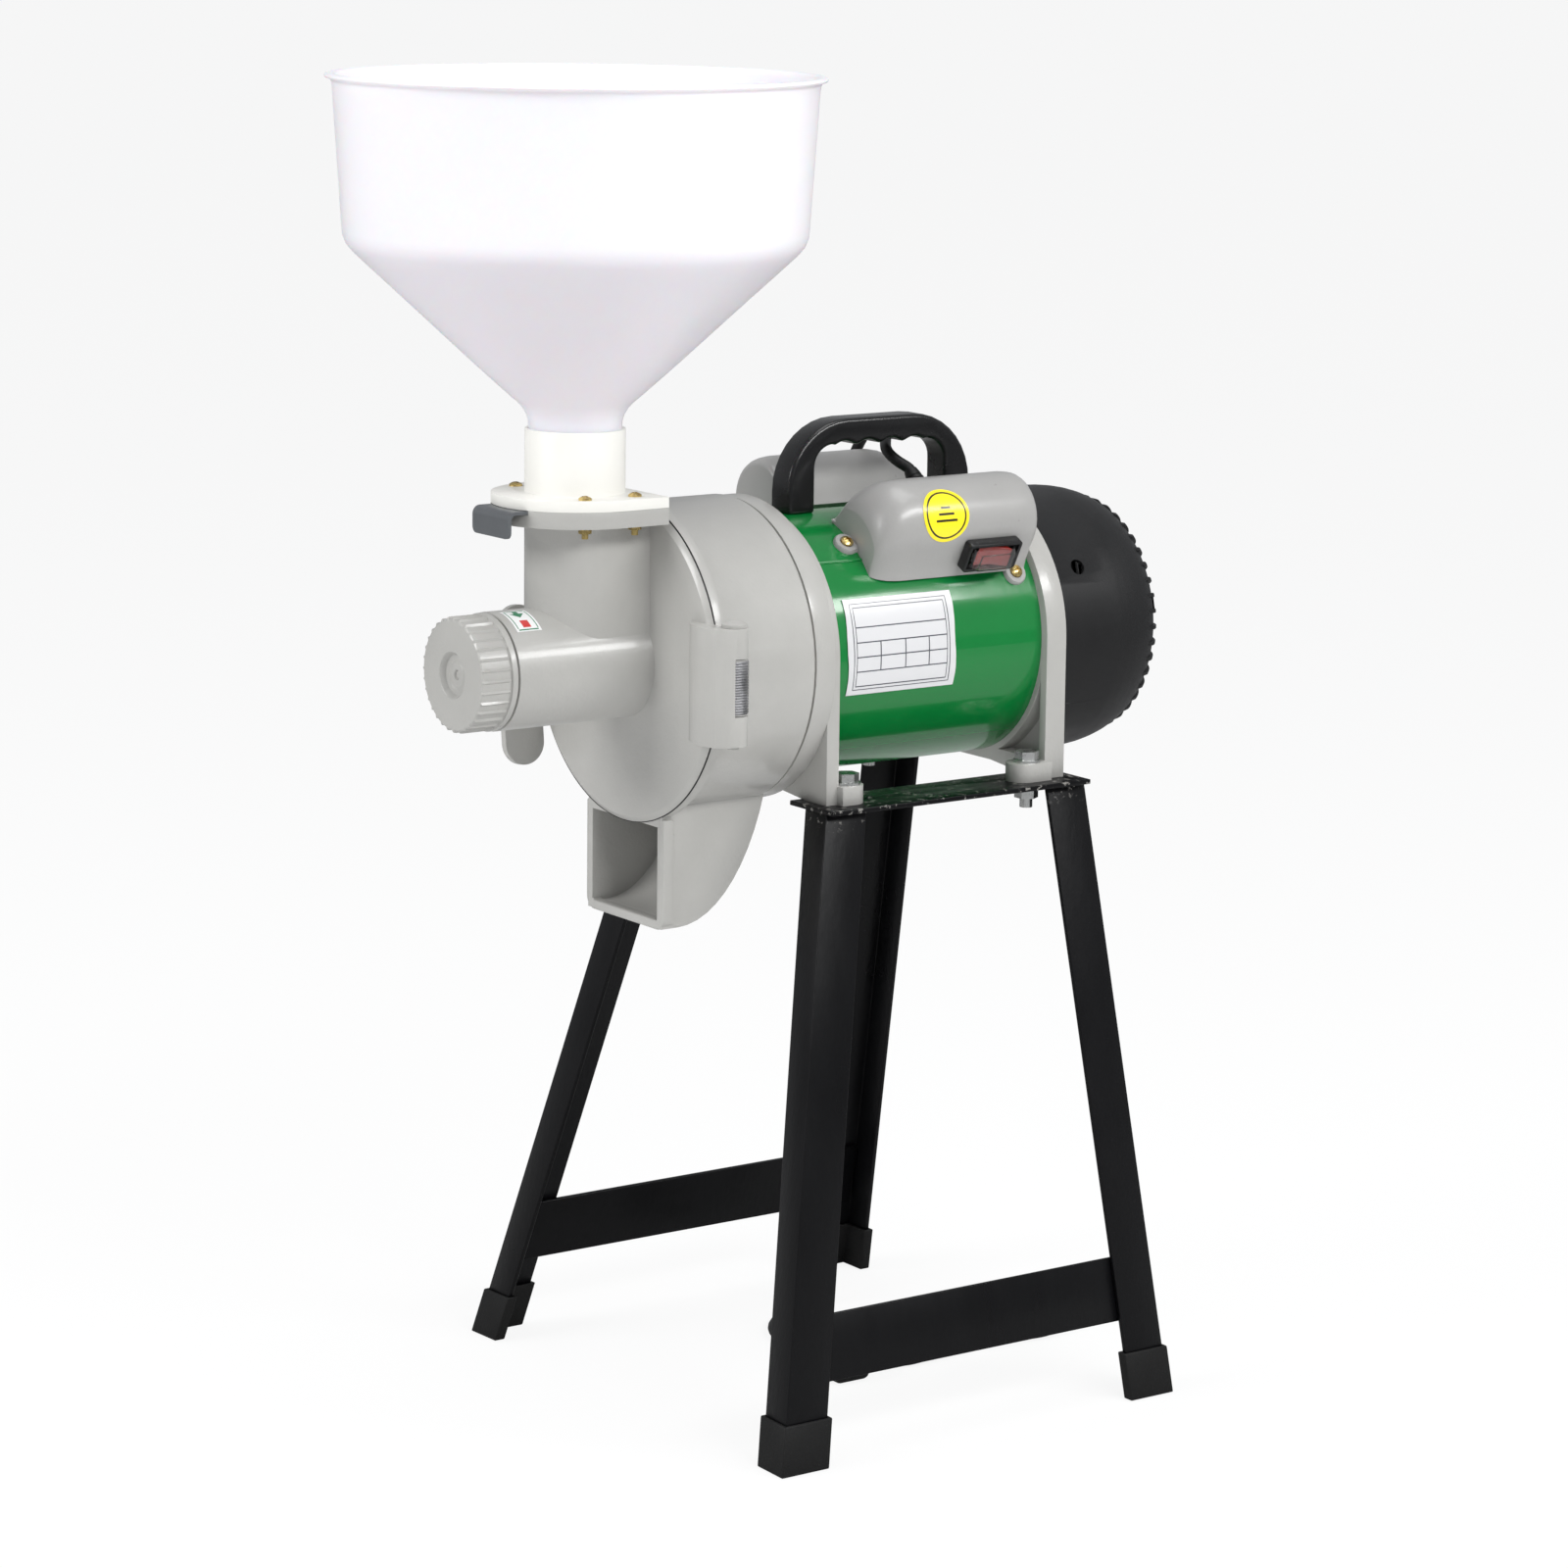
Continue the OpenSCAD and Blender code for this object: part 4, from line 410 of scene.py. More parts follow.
def hankPoint(k, s):
    f = cordFacts
    reach = [f["reach"] - f["pitch"] * min(i, f["halves"] - 2) for i in (k, k + 1)]
    side = -1 if k % 2 == 0 else 1
    if s <= 1:
        w = (1 - math.cos(2 * math.pi * s)) / 2
        rise = f["layer"] * s if k == f["halves"] - 2 else f["layer"] if k == f["halves"] - 1 else 0
        return (f["x"] + side * (reach[0] - f["pinch"] * w), f["y"] + f["run"] * (s if side < 0 else 1 - s),
                f["low"] + f["tie"] * w + rise)
    r, a = sum(reach) / 2, math.pi * (s - 1)
    return (f["x"] + side * ((reach[0] - reach[1]) / 2 + r * math.cos(a)),
            f["y"] + f["run"] + r * math.sin(a) if side < 0 else f["y"] - r * math.sin(a),
            f["low"] + (f["layer"] if k >= f["halves"] - 2 else 0))


route = [exitPoint(cordFacts["relief"]), exitPoint(21), (9, 195.5, 573.5), (2, 194.5, 577),
         (-5, 196.5, 579.8), (-12, 201, 582), (-20, 207, 586), (-30, 213, 589), (-41, 218, 590.5),
         (-52, 222, 589), (-63, 225, 584), (-74, 227, 575), (-83.5, 227.5, 562), (-91, 227, 547),
         (-97.5, 226, 529), (-102.5, 225, 509), (-106.3, 225, 489)]
route += [(-108, 225, z) for z in range(470, 40, -20)]
route += [(-107.6, 224.6, 36), (-105.5, 221.5, 23), (-101, 216, 12), (-95.5, 207.5, 6), (-89.5, 196, 3.8),
          (-83, 183, 3.6), (-74.5, 170.5, 3.6), (-63.5, 160, 3.6), (-50, 153.5, 3.6), (-36, 153.5, 3.6),
          (-24.5, 161, 3.6), (-17.5, 172.5, 3.6), (-15.3, 184, 3.6)]
steps = cordFacts["steps"]
route += [hankPoint(k, i / steps) for k in range(3) for i in range(2 * steps)]
route += [hankPoint(3, i / steps) for i in range(steps + 1)]
end = hankPoint(3, 1)
route += [(end[0], end[1] - cordFacts["lead"], end[2])]


def rounded(points, between=4):      # a smooth line through every point
    points = [Vector(p) for p in points]
    out = []
    for i in range(len(points) - 1):
        a, b, c, d = points[max(i - 1, 0)], points[i], points[i + 1], points[min(i + 2, len(points) - 1)]
        for j in range(between):
            t = j / between
            out.append(((2 * b) + (c - a) * t + (2 * a - 5 * b + 4 * c - d) * t * t
                        + (3 * b - a - 3 * c + d) * t ** 3) / 2)
    return out + [points[-1]]


line = [mm(*p) for p in rounded(route)]
curveData = bpy.data.curves.new("powerCord", "CURVE")
curveData.dimensions = "3D"
curveData.bevel_depth = cordFacts["thick"] / 2
curveData.bevel_resolution = 5
curveData.use_fill_caps = True
spline = curveData.splines.new("POLY")
spline.points.add(len(line) - 1)
for point, place in zip(spline.points, line):
    point.co = (*place, 1)
powerCord = bpy.data.objects.new("power_cord_run", curveData)
bpy.context.scene.collection.objects.link(powerCord)

reliefSpec = {"rings": [(7, 0.05), (7, 4.2), (6.3, 4.7), (6.2, 6.2), (5.2, 6.5), (5.2, 7.5), (6.0, 7.8),
                        (5.9, 9.3), (5.0, 9.6), (5.0, 10.6), (5.6, 10.9), (5.5, 12.4), (4.7, 12.7),
                        (4.7, 13.7), (5.1, 14), (4.9, 16), (4.2, 19.5)]}
relief = turnedMm(reliefSpec["rings"], 32)
outDirection = (mm(*exitPoint(10)) - mm(*exitPoint(0))).normalized()
relief.rotation_mode = "QUATERNION"
relief.rotation_quaternion = outDirection.to_track_quat("Z", "Y")
relief.location = mm(*exitPoint(0))
settle(relief)
relief.rotation_mode = "XYZ"
outward(relief)
smooth(relief, 30)
fit(relief, "cord_relief", "machine", cordRubber, "cord_rubber", "cord_gland")

# moulded plug on the cord's end
plugSpec = {"wide": 0.026, "long": 0.024, "high": 0.022, "neck": 0.012, "step": 0.003,
            "narrow": (0.45, 1, 0.55)}
plugPlace = mm(end[0], end[1] - cordFacts["lead"], end[2])
plugMiddle = plugPlace - Vector((0, plugSpec["neck"] + plugSpec["long"] / 2, 0))
bpy.ops.mesh.primitive_cube_add(size=1, location=plugMiddle)
plug = bpy.context.object
plug.scale = (plugSpec["wide"], plugSpec["long"], plugSpec["high"])
settle(plug)
choose(plug, lambda c, n: n.y > 0.5)
bpy.ops.mesh.inset(thickness=plugSpec["step"], depth=plugSpec["step"])
neckLength = plugSpec["neck"] - plugSpec["step"]
bpy.ops.mesh.extrude_region_move(TRANSFORM_OT_translate={"value": (0, neckLength, 0)})
bpy.ops.transform.resize(value=plugSpec["narrow"], center_override=plugPlace)
bpy.ops.object.mode_set(mode="OBJECT")
soften(plug, 0.0028, 4, 25)
smooth(plug, 40)
fit(plug, "plug_moulding", "machine", cordRubber, "cord_rubber", "plug_body")
fit(powerCord, "power_cord_run", "machine", cordRubber, "cord_rubber", "power_cord", "cord_hank")
print("cord made")

# hopper: thin turned wall with a rolled rim
hopperRings = [(27.8, 572), (27.8, 608.5), (28.1, 612), (29.2, 615.8), (31.4, 619.4), (34.3, 622.7),
               (38.5, 626.2), (60, 645.5), (100, 682.6), (126, 706.6), (131.5, 711.8), (135, 716),
               (137, 721), (137.6, 727), (139, 750), (141, 780), (142.6, 805), (143, 809.5), (143.8, 811.3),
               (145.5, 812), (146.9, 812.5), (147.4, 813.5), (146.9, 814.6), (145.6, 815), (142.6, 815),
               (141.2, 814), (140.6, 811), (139, 782), (136.8, 750), (135.4, 727), (134.6, 722),
               (132.4, 717.6), (129, 714), (98, 684.6), (58, 647.5), (29, 620.4), (26.4, 617.4),
               (25.6, 614.6), (25.6, 572)]
hopper = turnedMm(hopperRings, 128, (False, False))
closeRings(hopper)
hopper.location = mm(0, -37, 0)
settle(hopper)
smooth(hopper, 50)
fit(hopper, "hopper_shell", "hopper", milky, "milky_plastic", "hopper")

# adjusting knob: fluted band, dished face and its stud
knobSpec = {"front": -122.3, "ridges": 32, "sides": 192, "near": 1.2, "inside": 0.0318,
            "band": (0.0002, 0.0197), "raise": 1.036}
knobRings = [(2.4, 4.6), (3.2, 3.4), (7.2, 3.2), (8.4, 3.8), (10.6, 4.0), (12.2, 3.4), (13.6, 0.5),
             (14.2, 0), (30.6, 0), (32.2, 0.25), (33.1, 1.0), (33.4, 2.4), (33.4, 19.6), (33.8, 20.2),
             (34.9, 20.6), (35.2, 21.4), (35.2, 23.6), (34.6, 24.4), (31.3, 24.5), (31.3, 7.5), (4, 7.5)]
knob = turnedMm(knobRings, knobSpec["sides"])
edit(knob, "VERT")
work = bmesh.from_edit_mesh(knob.data)
for point in work.verts:      # ridges stand on every sixth line of points
    around = math.degrees(math.atan2(point.co.y, point.co.x)) % (360 / knobSpec["ridges"])
    near = min(around, 360 / knobSpec["ridges"] - around) < knobSpec["near"]
    low, high = knobSpec["band"]
    point.select = near and point.co.xy.length > knobSpec["inside"] and low < point.co.z < high
bmesh.update_edit_mesh(knob.data)
bpy.ops.transform.resize(value=(knobSpec["raise"], knobSpec["raise"], 1), center_override=(0, 0, 0.01))
bpy.ops.object.mode_set(mode="OBJECT")
layAlong(knob, knobSpec["front"])
outward(knob)
smooth(knob, 28)
fit(knob, "knob_fluted", "knob", greyEnamel, "grey_paint", "adjusting_knob")

# castings and pressed parts keep their CAD form, with rounded edges
castSpec = {"front_cover": ("cover", 1.1), "mill_housing": ("machine", 1.1),
            "front_bracket": ("machine", 0.8), "rear_bracket": ("machine", 0.8)}
for node, (body, width) in castSpec.items():
    piece = castCopy(node, width / 1000, 30)
    fit(piece, node + "_casting", body, greyEnamel, "grey_paint", node)
wing = castCopy("latch_wing_bolt", 0.0012, 30)
fit(wing, "latch_wing", "latch", greyEnamel, "grey_paint", "latch_wing_bolt")

# carrying handle from its outline seen from the side
handleSpec = {"y": 112, "long": 139, "wide": 20, "base": 79.5, "top": 136.6, "corner": 44, "leg": 20,
              "grip": 15.5, "inner": 14, "fingers": 4, "deep": 3.4}


def arcPoints(y, z, r, first, last, step=10):      # points round a corner, seen from the side
    count = round(abs(last - first) / step)
    return [(y + r * math.cos(math.radians(first + (last - first) * i / count)),
             z + r * math.sin(math.radians(first + (last - first) * i / count))) for i in range(count + 1)]


def slab(points, along):      # a flat outline given a thickness by moving it along
    bpy.ops.mesh.primitive_circle_add(vertices=len(points), fill_type="NGON")
    piece = bpy.context.object
    for vertex, point in zip(piece.data.vertices, points):
        vertex.co = point
    edit(piece)
    bpy.ops.mesh.select_all(action="SELECT")
    bpy.ops.mesh.extrude_region_move(TRANSFORM_OT_translate={"value": along})
    bpy.ops.object.mode_set(mode="OBJECT")
    outward(piece)
    return piece


def handleOutline():
    h = handleSpec
    rise, under = h["top"] - h["corner"], h["top"] - h["grip"]
    left, right = h["leg"] + h["inner"], h["long"] - h["leg"] - h["inner"]
    points = [(0, h["base"])] + arcPoints(h["corner"], rise, h["corner"], 180, 90)
    points += arcPoints(h["long"] - h["corner"], rise, h["corner"], 90, 0)
    points += [(h["long"], h["base"]), (h["long"] - h["leg"], h["base"])]
    points += arcPoints(right, under - h["inner"], h["inner"], 0, 90)
    steps = 10 * h["fingers"]
    for i in range(1, steps):      # finger hollows with rounded ridges between them
        wave = math.sqrt(math.sin(math.pi * i * h["fingers"] / steps) ** 2 + 0.03)
        points.append((right + (left - right) * i / steps, under + h["deep"] * (0.9 * wave - 0.45)))
    points += arcPoints(left, under - h["inner"], h["inner"], 90, 180) + [(h["leg"], h["base"])]
    return [mm(-h["wide"] / 2, h["y"] + y, shaft * 1000 + z) for y, z in points]


handle = slab(handleOutline(), (handleSpec["wide"] / 1000, 0, 0))
soften(handle, 0.0026, 4, 50)
smooth(handle, 40)
fit(handle, "handle_moulding", "machine", glossBlack, "gloss_black", "carry_handle")
collar = castCopy("feed_collar", 0.0009, 30)
collarCut = {"above": 0.6, "by": 0.0042}      # a few millimetres of the hopper's neck show over the collar
for vertex in collar.data.vertices:
    if vertex.co.z > collarCut["above"]:
        vertex.co.z -= collarCut["by"]
fit(collar, "feed_collar_moulding", "cover", ivoryNylon, "white_plastic", "feed_collar")
for node in ("left_rail", "right_rail", "front_left_leg", "front_right_leg", "rear_left_leg",
             "rear_right_leg", "left_crossbar", "right_crossbar"):
    piece = castCopy(node, 0.0006, 30)
    fit(piece, node + "_painted", "machine", blackPaint, "black_paint", node)
caps = castCopy("foot_caps", 0.0009, 30)
fit(caps, "foot_cap_mouldings", "machine", capRubber, "seal_rubber", "foot_caps")
print("castings and stand made")


# both boxes on the barrel: a tombstone outline lofted from a sloping, rounded nose to the rear end
boxSpec = {"crown": 0.026, "base": 0.0765, "foot": 0.0287, "sides": 44,
           "slope": 6, "straight": 0.3, "flare": 0.0016,
           "nose": [(0, 0.8, 0.5), (0.0012, 0.84, 0.6), (0.0035, 0.89, 0.71), (0.007, 0.935, 0.82),
                    (0.011, 0.97, 0.905), (0.016, 0.99, 0.965), (0.022, 1, 0.995), (0.03, 1, 1)],
           "tail": [(0.012, 1, 1), (0.007, 0.995, 0.985), (0.0035, 0.985, 0.965), (0.0012, 0.965, 0.935),
                    (0, 0.93, 0.89)],
           "ears": (-0.0055, 0.108), "swing": 22.5, "earHeight": 0.0803, "stem": (0.0135, 0.012, 0.0042),
           "stemPlace": (0, 0.007, -0.0004),
           "earRings": [(7.8, -2.5), (7.8, 1.8), (7.1, 2.8), (4.3, 2.8), (4.3, 0.2)],
           "tab": {"radius": 0.0072, "high": 0.0026, "place": (-0.0215, 0.0035, 0.0803),
                   "turn": (0, 0, math.radians(35))}}


def outlinePoint(share, far):      # goes round the outline from one foot, over the crown, to the other
    straight, slope = boxSpec["straight"], math.radians(boxSpec["slope"])
    side = -1 if share < 0.5 else 1
    along = share if share < 0.5 else 1 - share
    top = (boxSpec["crown"] * math.cos(slope), far + boxSpec["crown"] * math.sin(slope))
    if along < straight:
        t = along / straight
        across = boxSpec["foot"] + (top[0] - boxSpec["foot"]) * t + boxSpec["flare"] * (1 - t) ** 5
        return side * across, boxSpec["base"] + (top[1] - boxSpec["base"]) * t
    a = slope + (math.pi / 2 - slope) * (along - straight) / (0.5 - straight)
    return side * boxSpec["crown"] * math.cos(a), far + boxSpec["crown"] * math.sin(a)


def boxMoulded(name, box, node, turnedRound):
    tilt, far = math.atan2(box["x"], box["z"]), math.hypot(box["x"], box["z"]) / 1000
    length = (box["y1"] - box["y0"]) / 1000
    bpy.ops.mesh.primitive_circle_add(vertices=boxSpec["sides"], radius=0.01)
    piece = bpy.context.object
    for i, vertex in enumerate(piece.data.vertices):
        across, up = outlinePoint(i / (boxSpec["sides"] - 1), far)
        vertex.co = (across, 0, up)
    stations = boxSpec["nose"] + [(length - y, sx, sz) for y, sx, sz in boxSpec["tail"]]
    edit(piece, "EDGE")
    bpy.ops.mesh.select_all(action="SELECT")
    y, sx, sz = stations[0]
    bpy.ops.transform.resize(value=(sx, 1, sz), center_override=(0, 0, boxSpec["base"]))
    for (y0, sx0, sz0), (y1, sx1, sz1) in zip(stations, stations[1:]):
        bpy.ops.mesh.extrude_edges_move(TRANSFORM_OT_translate={"value": (0, y1 - y0, 0)})
        bpy.ops.transform.resize(value=(sx1 / sx0, 1, sz1 / sz0), center_override=(0, 0, boxSpec["base"]))
    bpy.ops.mesh.edge_face_add()
    bpy.ops.mesh.select_all(action="DESELECT")
    bpy.ops.mesh.select_non_manifold(extend=False)
    bpy.ops.mesh.edge_face_add()
    bpy.ops.object.mode_set(mode="OBJECT")
    outward(piece)
    choose(piece, lambda a, b: abs(a.y) < 1e-5 and abs(b.y) < 1e-5, "EDGE")
    bpy.ops.mesh.bevel(offset=0.0022, segments=3, affect="EDGES", clamp_overlap=True)
    bpy.ops.object.mode_set(mode="OBJECT")
    choose(piece, lambda a, b: abs(a.y - length) < 1e-5 and abs(b.y - length) < 1e-5, "EDGE")
    bpy.ops.mesh.bevel(offset=0.0015, segments=3, affect="EDGES", clamp_overlap=True)
    bpy.ops.object.mode_set(mode="OBJECT")
    smooth(piece, 50)
    # round screw ears on stems, one before the nose and one beside the tail
    for i, place in enumerate(boxSpec["ears"]):
        ear = turnedMm(boxSpec["earRings"], 32)
        bpy.ops.mesh.primitive_cube_add(size=1, location=boxSpec["stemPlace"])
        stem = bpy.context.object
        stem.scale = boxSpec["stem"]
        settle(stem)
        soften(stem, 0.0012, 2, 30)
        pick(ear, stem)
        bpy.ops.object.join()
        if i:
            ear.matrix_world = (Matrix.Rotation(math.radians(boxSpec["swing"]), 4, "Y")
                                @ Matrix.Translation((0, place, boxSpec["earHeight"]))
                                @ Matrix.Rotation(math.radians(90), 4, "Z"))
        else:
            ear.location = (0, place, boxSpec["earHeight"])
        settle(ear)
        smooth(ear, 40)
        pick(piece, ear)
        bpy.ops.object.join()
    tabSpec = boxSpec["tab"]      # small pointed tab beside the nose
    bpy.ops.mesh.primitive_cone_add(vertices=3, radius1=tabSpec["radius"], depth=tabSpec["high"],
                                    location=tabSpec["place"], rotation=tabSpec["turn"])
    tab = bpy.context.object
    soften(tab, 0.0008, 2, 20)
    settle(tab)
    pick(piece, tab)
    bpy.ops.object.join()
    if turnedRound:
        piece.matrix_world = Matrix.Translation((0, length, 0)) @ Matrix.Rotation(math.pi, 4, "Z")
        settle(piece)
    piece.matrix_world = (Matrix.Translation((0, seam + box["y0"] / 1000, shaft))
                          @ Matrix.Rotation(tilt, 4, "Y"))
    settle(piece)
    fit(piece, name, "machine", boxMoulding, "grey_plastic", node)


boxMoulded("switch_box_moulding", nearBox, "switch_box", False)
boxMoulded("capacitor_box_moulding", farBox, "capacitor_box", True)
print("boxes made")


def marks(look, base, layers):      # paints masks over a base colour, in turn
    current = (*base, 1)
    for mask, color in layers:
        current = blend(look, mask, current, (*color, 1))
    wire(look, current, look.node_tree.nodes["Principled BSDF"].inputs["Base Color"])


def sheetAxes(look):
    sheet = axes(look, add(look, "ShaderNodeUVMap").outputs["UV"])
    return sheet[0], sheet[1]


def both(look, a, b):
    return maths(look, "MULTIPLY", a, b)


def either(look, *masks):
    current = masks[0]
    for mask in masks[1:]:
        current = maths(look, "MAXIMUM", current, mask)
    return current


def stripe(look, axis, at, half):      # one where the axis is within half of at
    return maths(look, "LESS_THAN", maths(look, "ABSOLUTE", maths(look, "SUBTRACT", axis, at)), half)


def inside(look, axis, low, high):
    return both(look, maths(look, "GREATER_THAN", axis, low), maths(look, "LESS_THAN", axis, high))


# rating plate: a film bent round the barrel, with an empty ruled table
plateSpec = {"y0": 107, "y1": 188, "low": 105.5, "high": 63.5, "radius": 80.45, "lift": 0.35}
bpy.ops.mesh.primitive_grid_add(x_subdivisions=60, y_subdivisions=44, size=1)
plate = bpy.context.object
for vertex in plate.data.vertices:
    u, v = vertex.co.x + 0.5, vertex.co.y + 0.5
    angle = math.radians(plateSpec["low"] + (plateSpec["high"] - plateSpec["low"]) * v)
    edge = max(0, abs(u - 0.5) * 2 - 0.86) / 0.14
    ripple = 0.12 * math.sin(v * 19 + 1.3) * edge + 0.05 * math.sin(u * 23 + v * 7)
    reach = (plateSpec["radius"] + plateSpec["lift"] + abs(ripple) * 1.2) / 1000
    y = plateSpec["y0"] + (plateSpec["y1"] - plateSpec["y0"]) * u + 0.5 * math.sin(v * 9) * edge
    vertex.co = Vector((reach * math.sin(angle), seam + y / 1000, shaft + reach * math.cos(angle)))
outward(plate)
modify(plate, "SOLIDIFY", thickness=0.0002, offset=-1)
smooth(plate, 40)
filmWhite = (0.66, 0.66, 0.67)
film = newLook("ratingFilm", filmWhite, 0.3, coat=0.3, coatRough=0.15)
u, v = sheetAxes(film)
frameLines = either(film, *[both(film, stripe(film, a, at, half), inside(film, b, 0.055, 0.945))
                            for a, b, half in ((u, v, 0.004), (v, u, 0.005)) for at in (0.055, 0.945)])
rowLines = either(film, *[both(film, stripe(film, v, at, 0.0065), inside(film, u, 0.08, 0.92))
                          for at in (0.905, 0.7, 0.545, 0.395, 0.245, 0.09)])
sideLines = either(film, *[both(film, stripe(film, u, at, 0.0035), inside(film, v, 0.09, 0.905))
                           for at in (0.08, 0.92)])
columns = either(film, *[both(film, stripe(film, u, at, 0.005), inside(film, v, 0.245, 0.545))
                         for at in (0.3, 0.53, 0.75)])
marks(film, filmWhite, [(either(film, frameLines, rowLines, sideLines, columns), tone(76, 78, 84))])
bumped(film, noise(film, ownPlace(film), 60.0, 3.0), 0.6, 0.0001)
fit(plate, "rating_film", "machine", film, "label_white", "nameplate")

# round yellow sticker on the near box, with a plain ring and three bars
stickerSpec = {"y": 177.8, "radius": 0.0172, "rise": 0.01995, "lift": 0.00022}
sticker = turned([(1, 0), (0.93, 0), (0.86, 0), (0.75, 0), (0.62, 0), (0.5, 0), (0.37, 0), (0.25, 0),
                  (0.12, 0)], 64, (False, True))
outward(sticker)
stickerMap = sticker.data.uv_layers.active or sticker.data.uv_layers.new(name="UVMap")
for corner in sticker.data.loops:
    place = sticker.data.vertices[corner.vertex_index].co
    stickerMap.data[corner.index].uv = (place.x / 2.1 + 0.5, place.y / 2.1 + 0.5)
boxFar, boxTilt = math.hypot(nearBox["x"], nearBox["z"]) / 1000, math.atan2(nearBox["x"], nearBox["z"])
edgeAngle = math.radians(boxSpec["slope"])
crownEdge = Vector((boxSpec["crown"] * math.cos(edgeAngle), 0,
                    boxFar + boxSpec["crown"] * math.sin(edgeAngle)))
footEdge = Vector((boxSpec["foot"], 0, boxSpec["base"]))
downSide = (footEdge - crownEdge).normalized()
onBox = Matrix.Translation((0, seam, shaft)) @ Matrix.Rotation(boxTilt, 4, "Y")
for vertex in sticker.data.vertices:      # laid on the flat side and bent over the crown
    up = vertex.co.y * stickerSpec["radius"] + stickerSpec["rise"]
    if up < 0:
        normal = Vector((-downSide.z, 0, downSide.x))
        spot = crownEdge - downSide * up
    else:
        turn = edgeAngle + up / boxSpec["crown"]
        normal = Vector((math.cos(turn), 0, math.sin(turn)))
        spot = Vector((0, 0, boxFar)) + normal * boxSpec["crown"]
    spot += normal * stickerSpec["lift"]
    spot.y = stickerSpec["y"] / 1000 + vertex.co.x * stickerSpec["radius"]
    vertex.co = onBox @ spot
modify(sticker, "SOLIDIFY", thickness=0.00015, offset=-1)
smooth(sticker, 50)
yellow = newLook("yellowFilm", tone(250, 228, 30), 0.28, coat=0.4, coatRough=0.12)
u, v = sheetAxes(yellow)
du, dv = maths(yellow, "SUBTRACT", u, 0.5), maths(yellow, "SUBTRACT", v, 0.5)
reach = maths(yellow, "SQRT", maths(yellow, "ADD", both(yellow, du, du), both(yellow, dv, dv)))
ringMark = stripe(yellow, reach, 0.4, 0.016)
barMarks = either(yellow, *[both(yellow, stripe(yellow, v, at, 0.02), stripe(yellow, u, 0.5, half))
                            for at, half in ((0.62, 0.1), (0.51, 0.16), (0.4, 0.22))])
marks(yellow, tone(250, 228, 30), [(either(yellow, ringMark, barMarks), tone(26, 24, 20))])
bumped(yellow, noise(yellow, ownPlace(yellow), 80.0, 2.0), 0.5, 0.0001)
fit(sticker, "round_sticker", "machine", yellow, "label_white")

# small label on the feed barrel behind the knob: a green arrow and a red bar in a green frame
tagSpec = {"y0": -92, "y1": -75, "low": 42, "high": 6, "radius": 35.62}
bpy.ops.mesh.primitive_grid_add(x_subdivisions=12, y_subdivisions=24, size=1)
tag = bpy.context.object
for vertex in tag.data.vertices:
    u, v = vertex.co.x + 0.5, vertex.co.y + 0.5
    angle = math.radians(tagSpec["low"] + (tagSpec["high"] - tagSpec["low"]) * v)
    y = tagSpec["y0"] + (tagSpec["y1"] - tagSpec["y0"]) * u
    vertex.co = Vector((tagSpec["radius"] / 1000 * math.sin(angle), seam + y / 1000,
                        shaft + tagSpec["radius"] / 1000 * math.cos(angle)))
outward(tag)
modify(tag, "SOLIDIFY", thickness=0.0001, offset=1)
smooth(tag, 40)
tagFilm = newLook("tagFilm", (0.85, 0.85, 0.85), 0.3, coat=0.3)
u, v = sheetAxes(tagFilm)
edgeMark = either(tagFilm, *[both(tagFilm, stripe(tagFilm, a, at, 0.02), inside(tagFilm, b, 0.1, 0.9))
                             for a, b, at in ((u, v, 0.1), (u, v, 0.9), (v, u, 0.06), (v, u, 0.94))])
slant = maths(tagFilm, "MULTIPLY", maths(tagFilm, "ABSOLUTE", maths(tagFilm, "SUBTRACT", u, 0.5)), 0.8)
tipLow = maths(tagFilm, "GREATER_THAN", maths(tagFilm, "SUBTRACT", v, 0.55), slant)
arrowMark = either(tagFilm, both(tagFilm, tipLow, inside(tagFilm, v, 0.55, 0.78)),
                   both(tagFilm, stripe(tagFilm, u, 0.5, 0.1), inside(tagFilm, v, 0.76, 0.92)))
redMark = both(tagFilm, stripe(tagFilm, u, 0.5, 0.16), inside(tagFilm, v, 0.14, 0.42))
marks(tagFilm, (0.85, 0.85, 0.85), [(either(tagFilm, edgeMark, arrowMark), tone(30, 120, 80)),
                                    (redMark, tone(205, 60, 60))])
fit(tag, "direction_tag", "cover", tagFilm, "label_white")

# lap seam of the barrel's sheet
lapSpec = {"y": 0.176, "radius": 0.0804, "size": (0.0016, 0.1575, 0.0011), "turn": 45}
bpy.ops.mesh.primitive_cube_add(size=1, location=(0, seam + lapSpec["y"], shaft + lapSpec["radius"]))
lap = bpy.context.object
lap.scale = lapSpec["size"]
settle(lap)
lap.matrix_world = (Matrix.Translation((0, 0, shaft))
                    @ Matrix.Rotation(math.radians(lapSpec["turn"]), 4, "Y")
                    @ Matrix.Translation((0, 0, -shaft)))
settle(lap)
soften(lap, 0.0002, 2, 30)
smooth(lap, 40)
fit(lap, "barrel_lap", "machine", greenEnamel, "green_enamel")

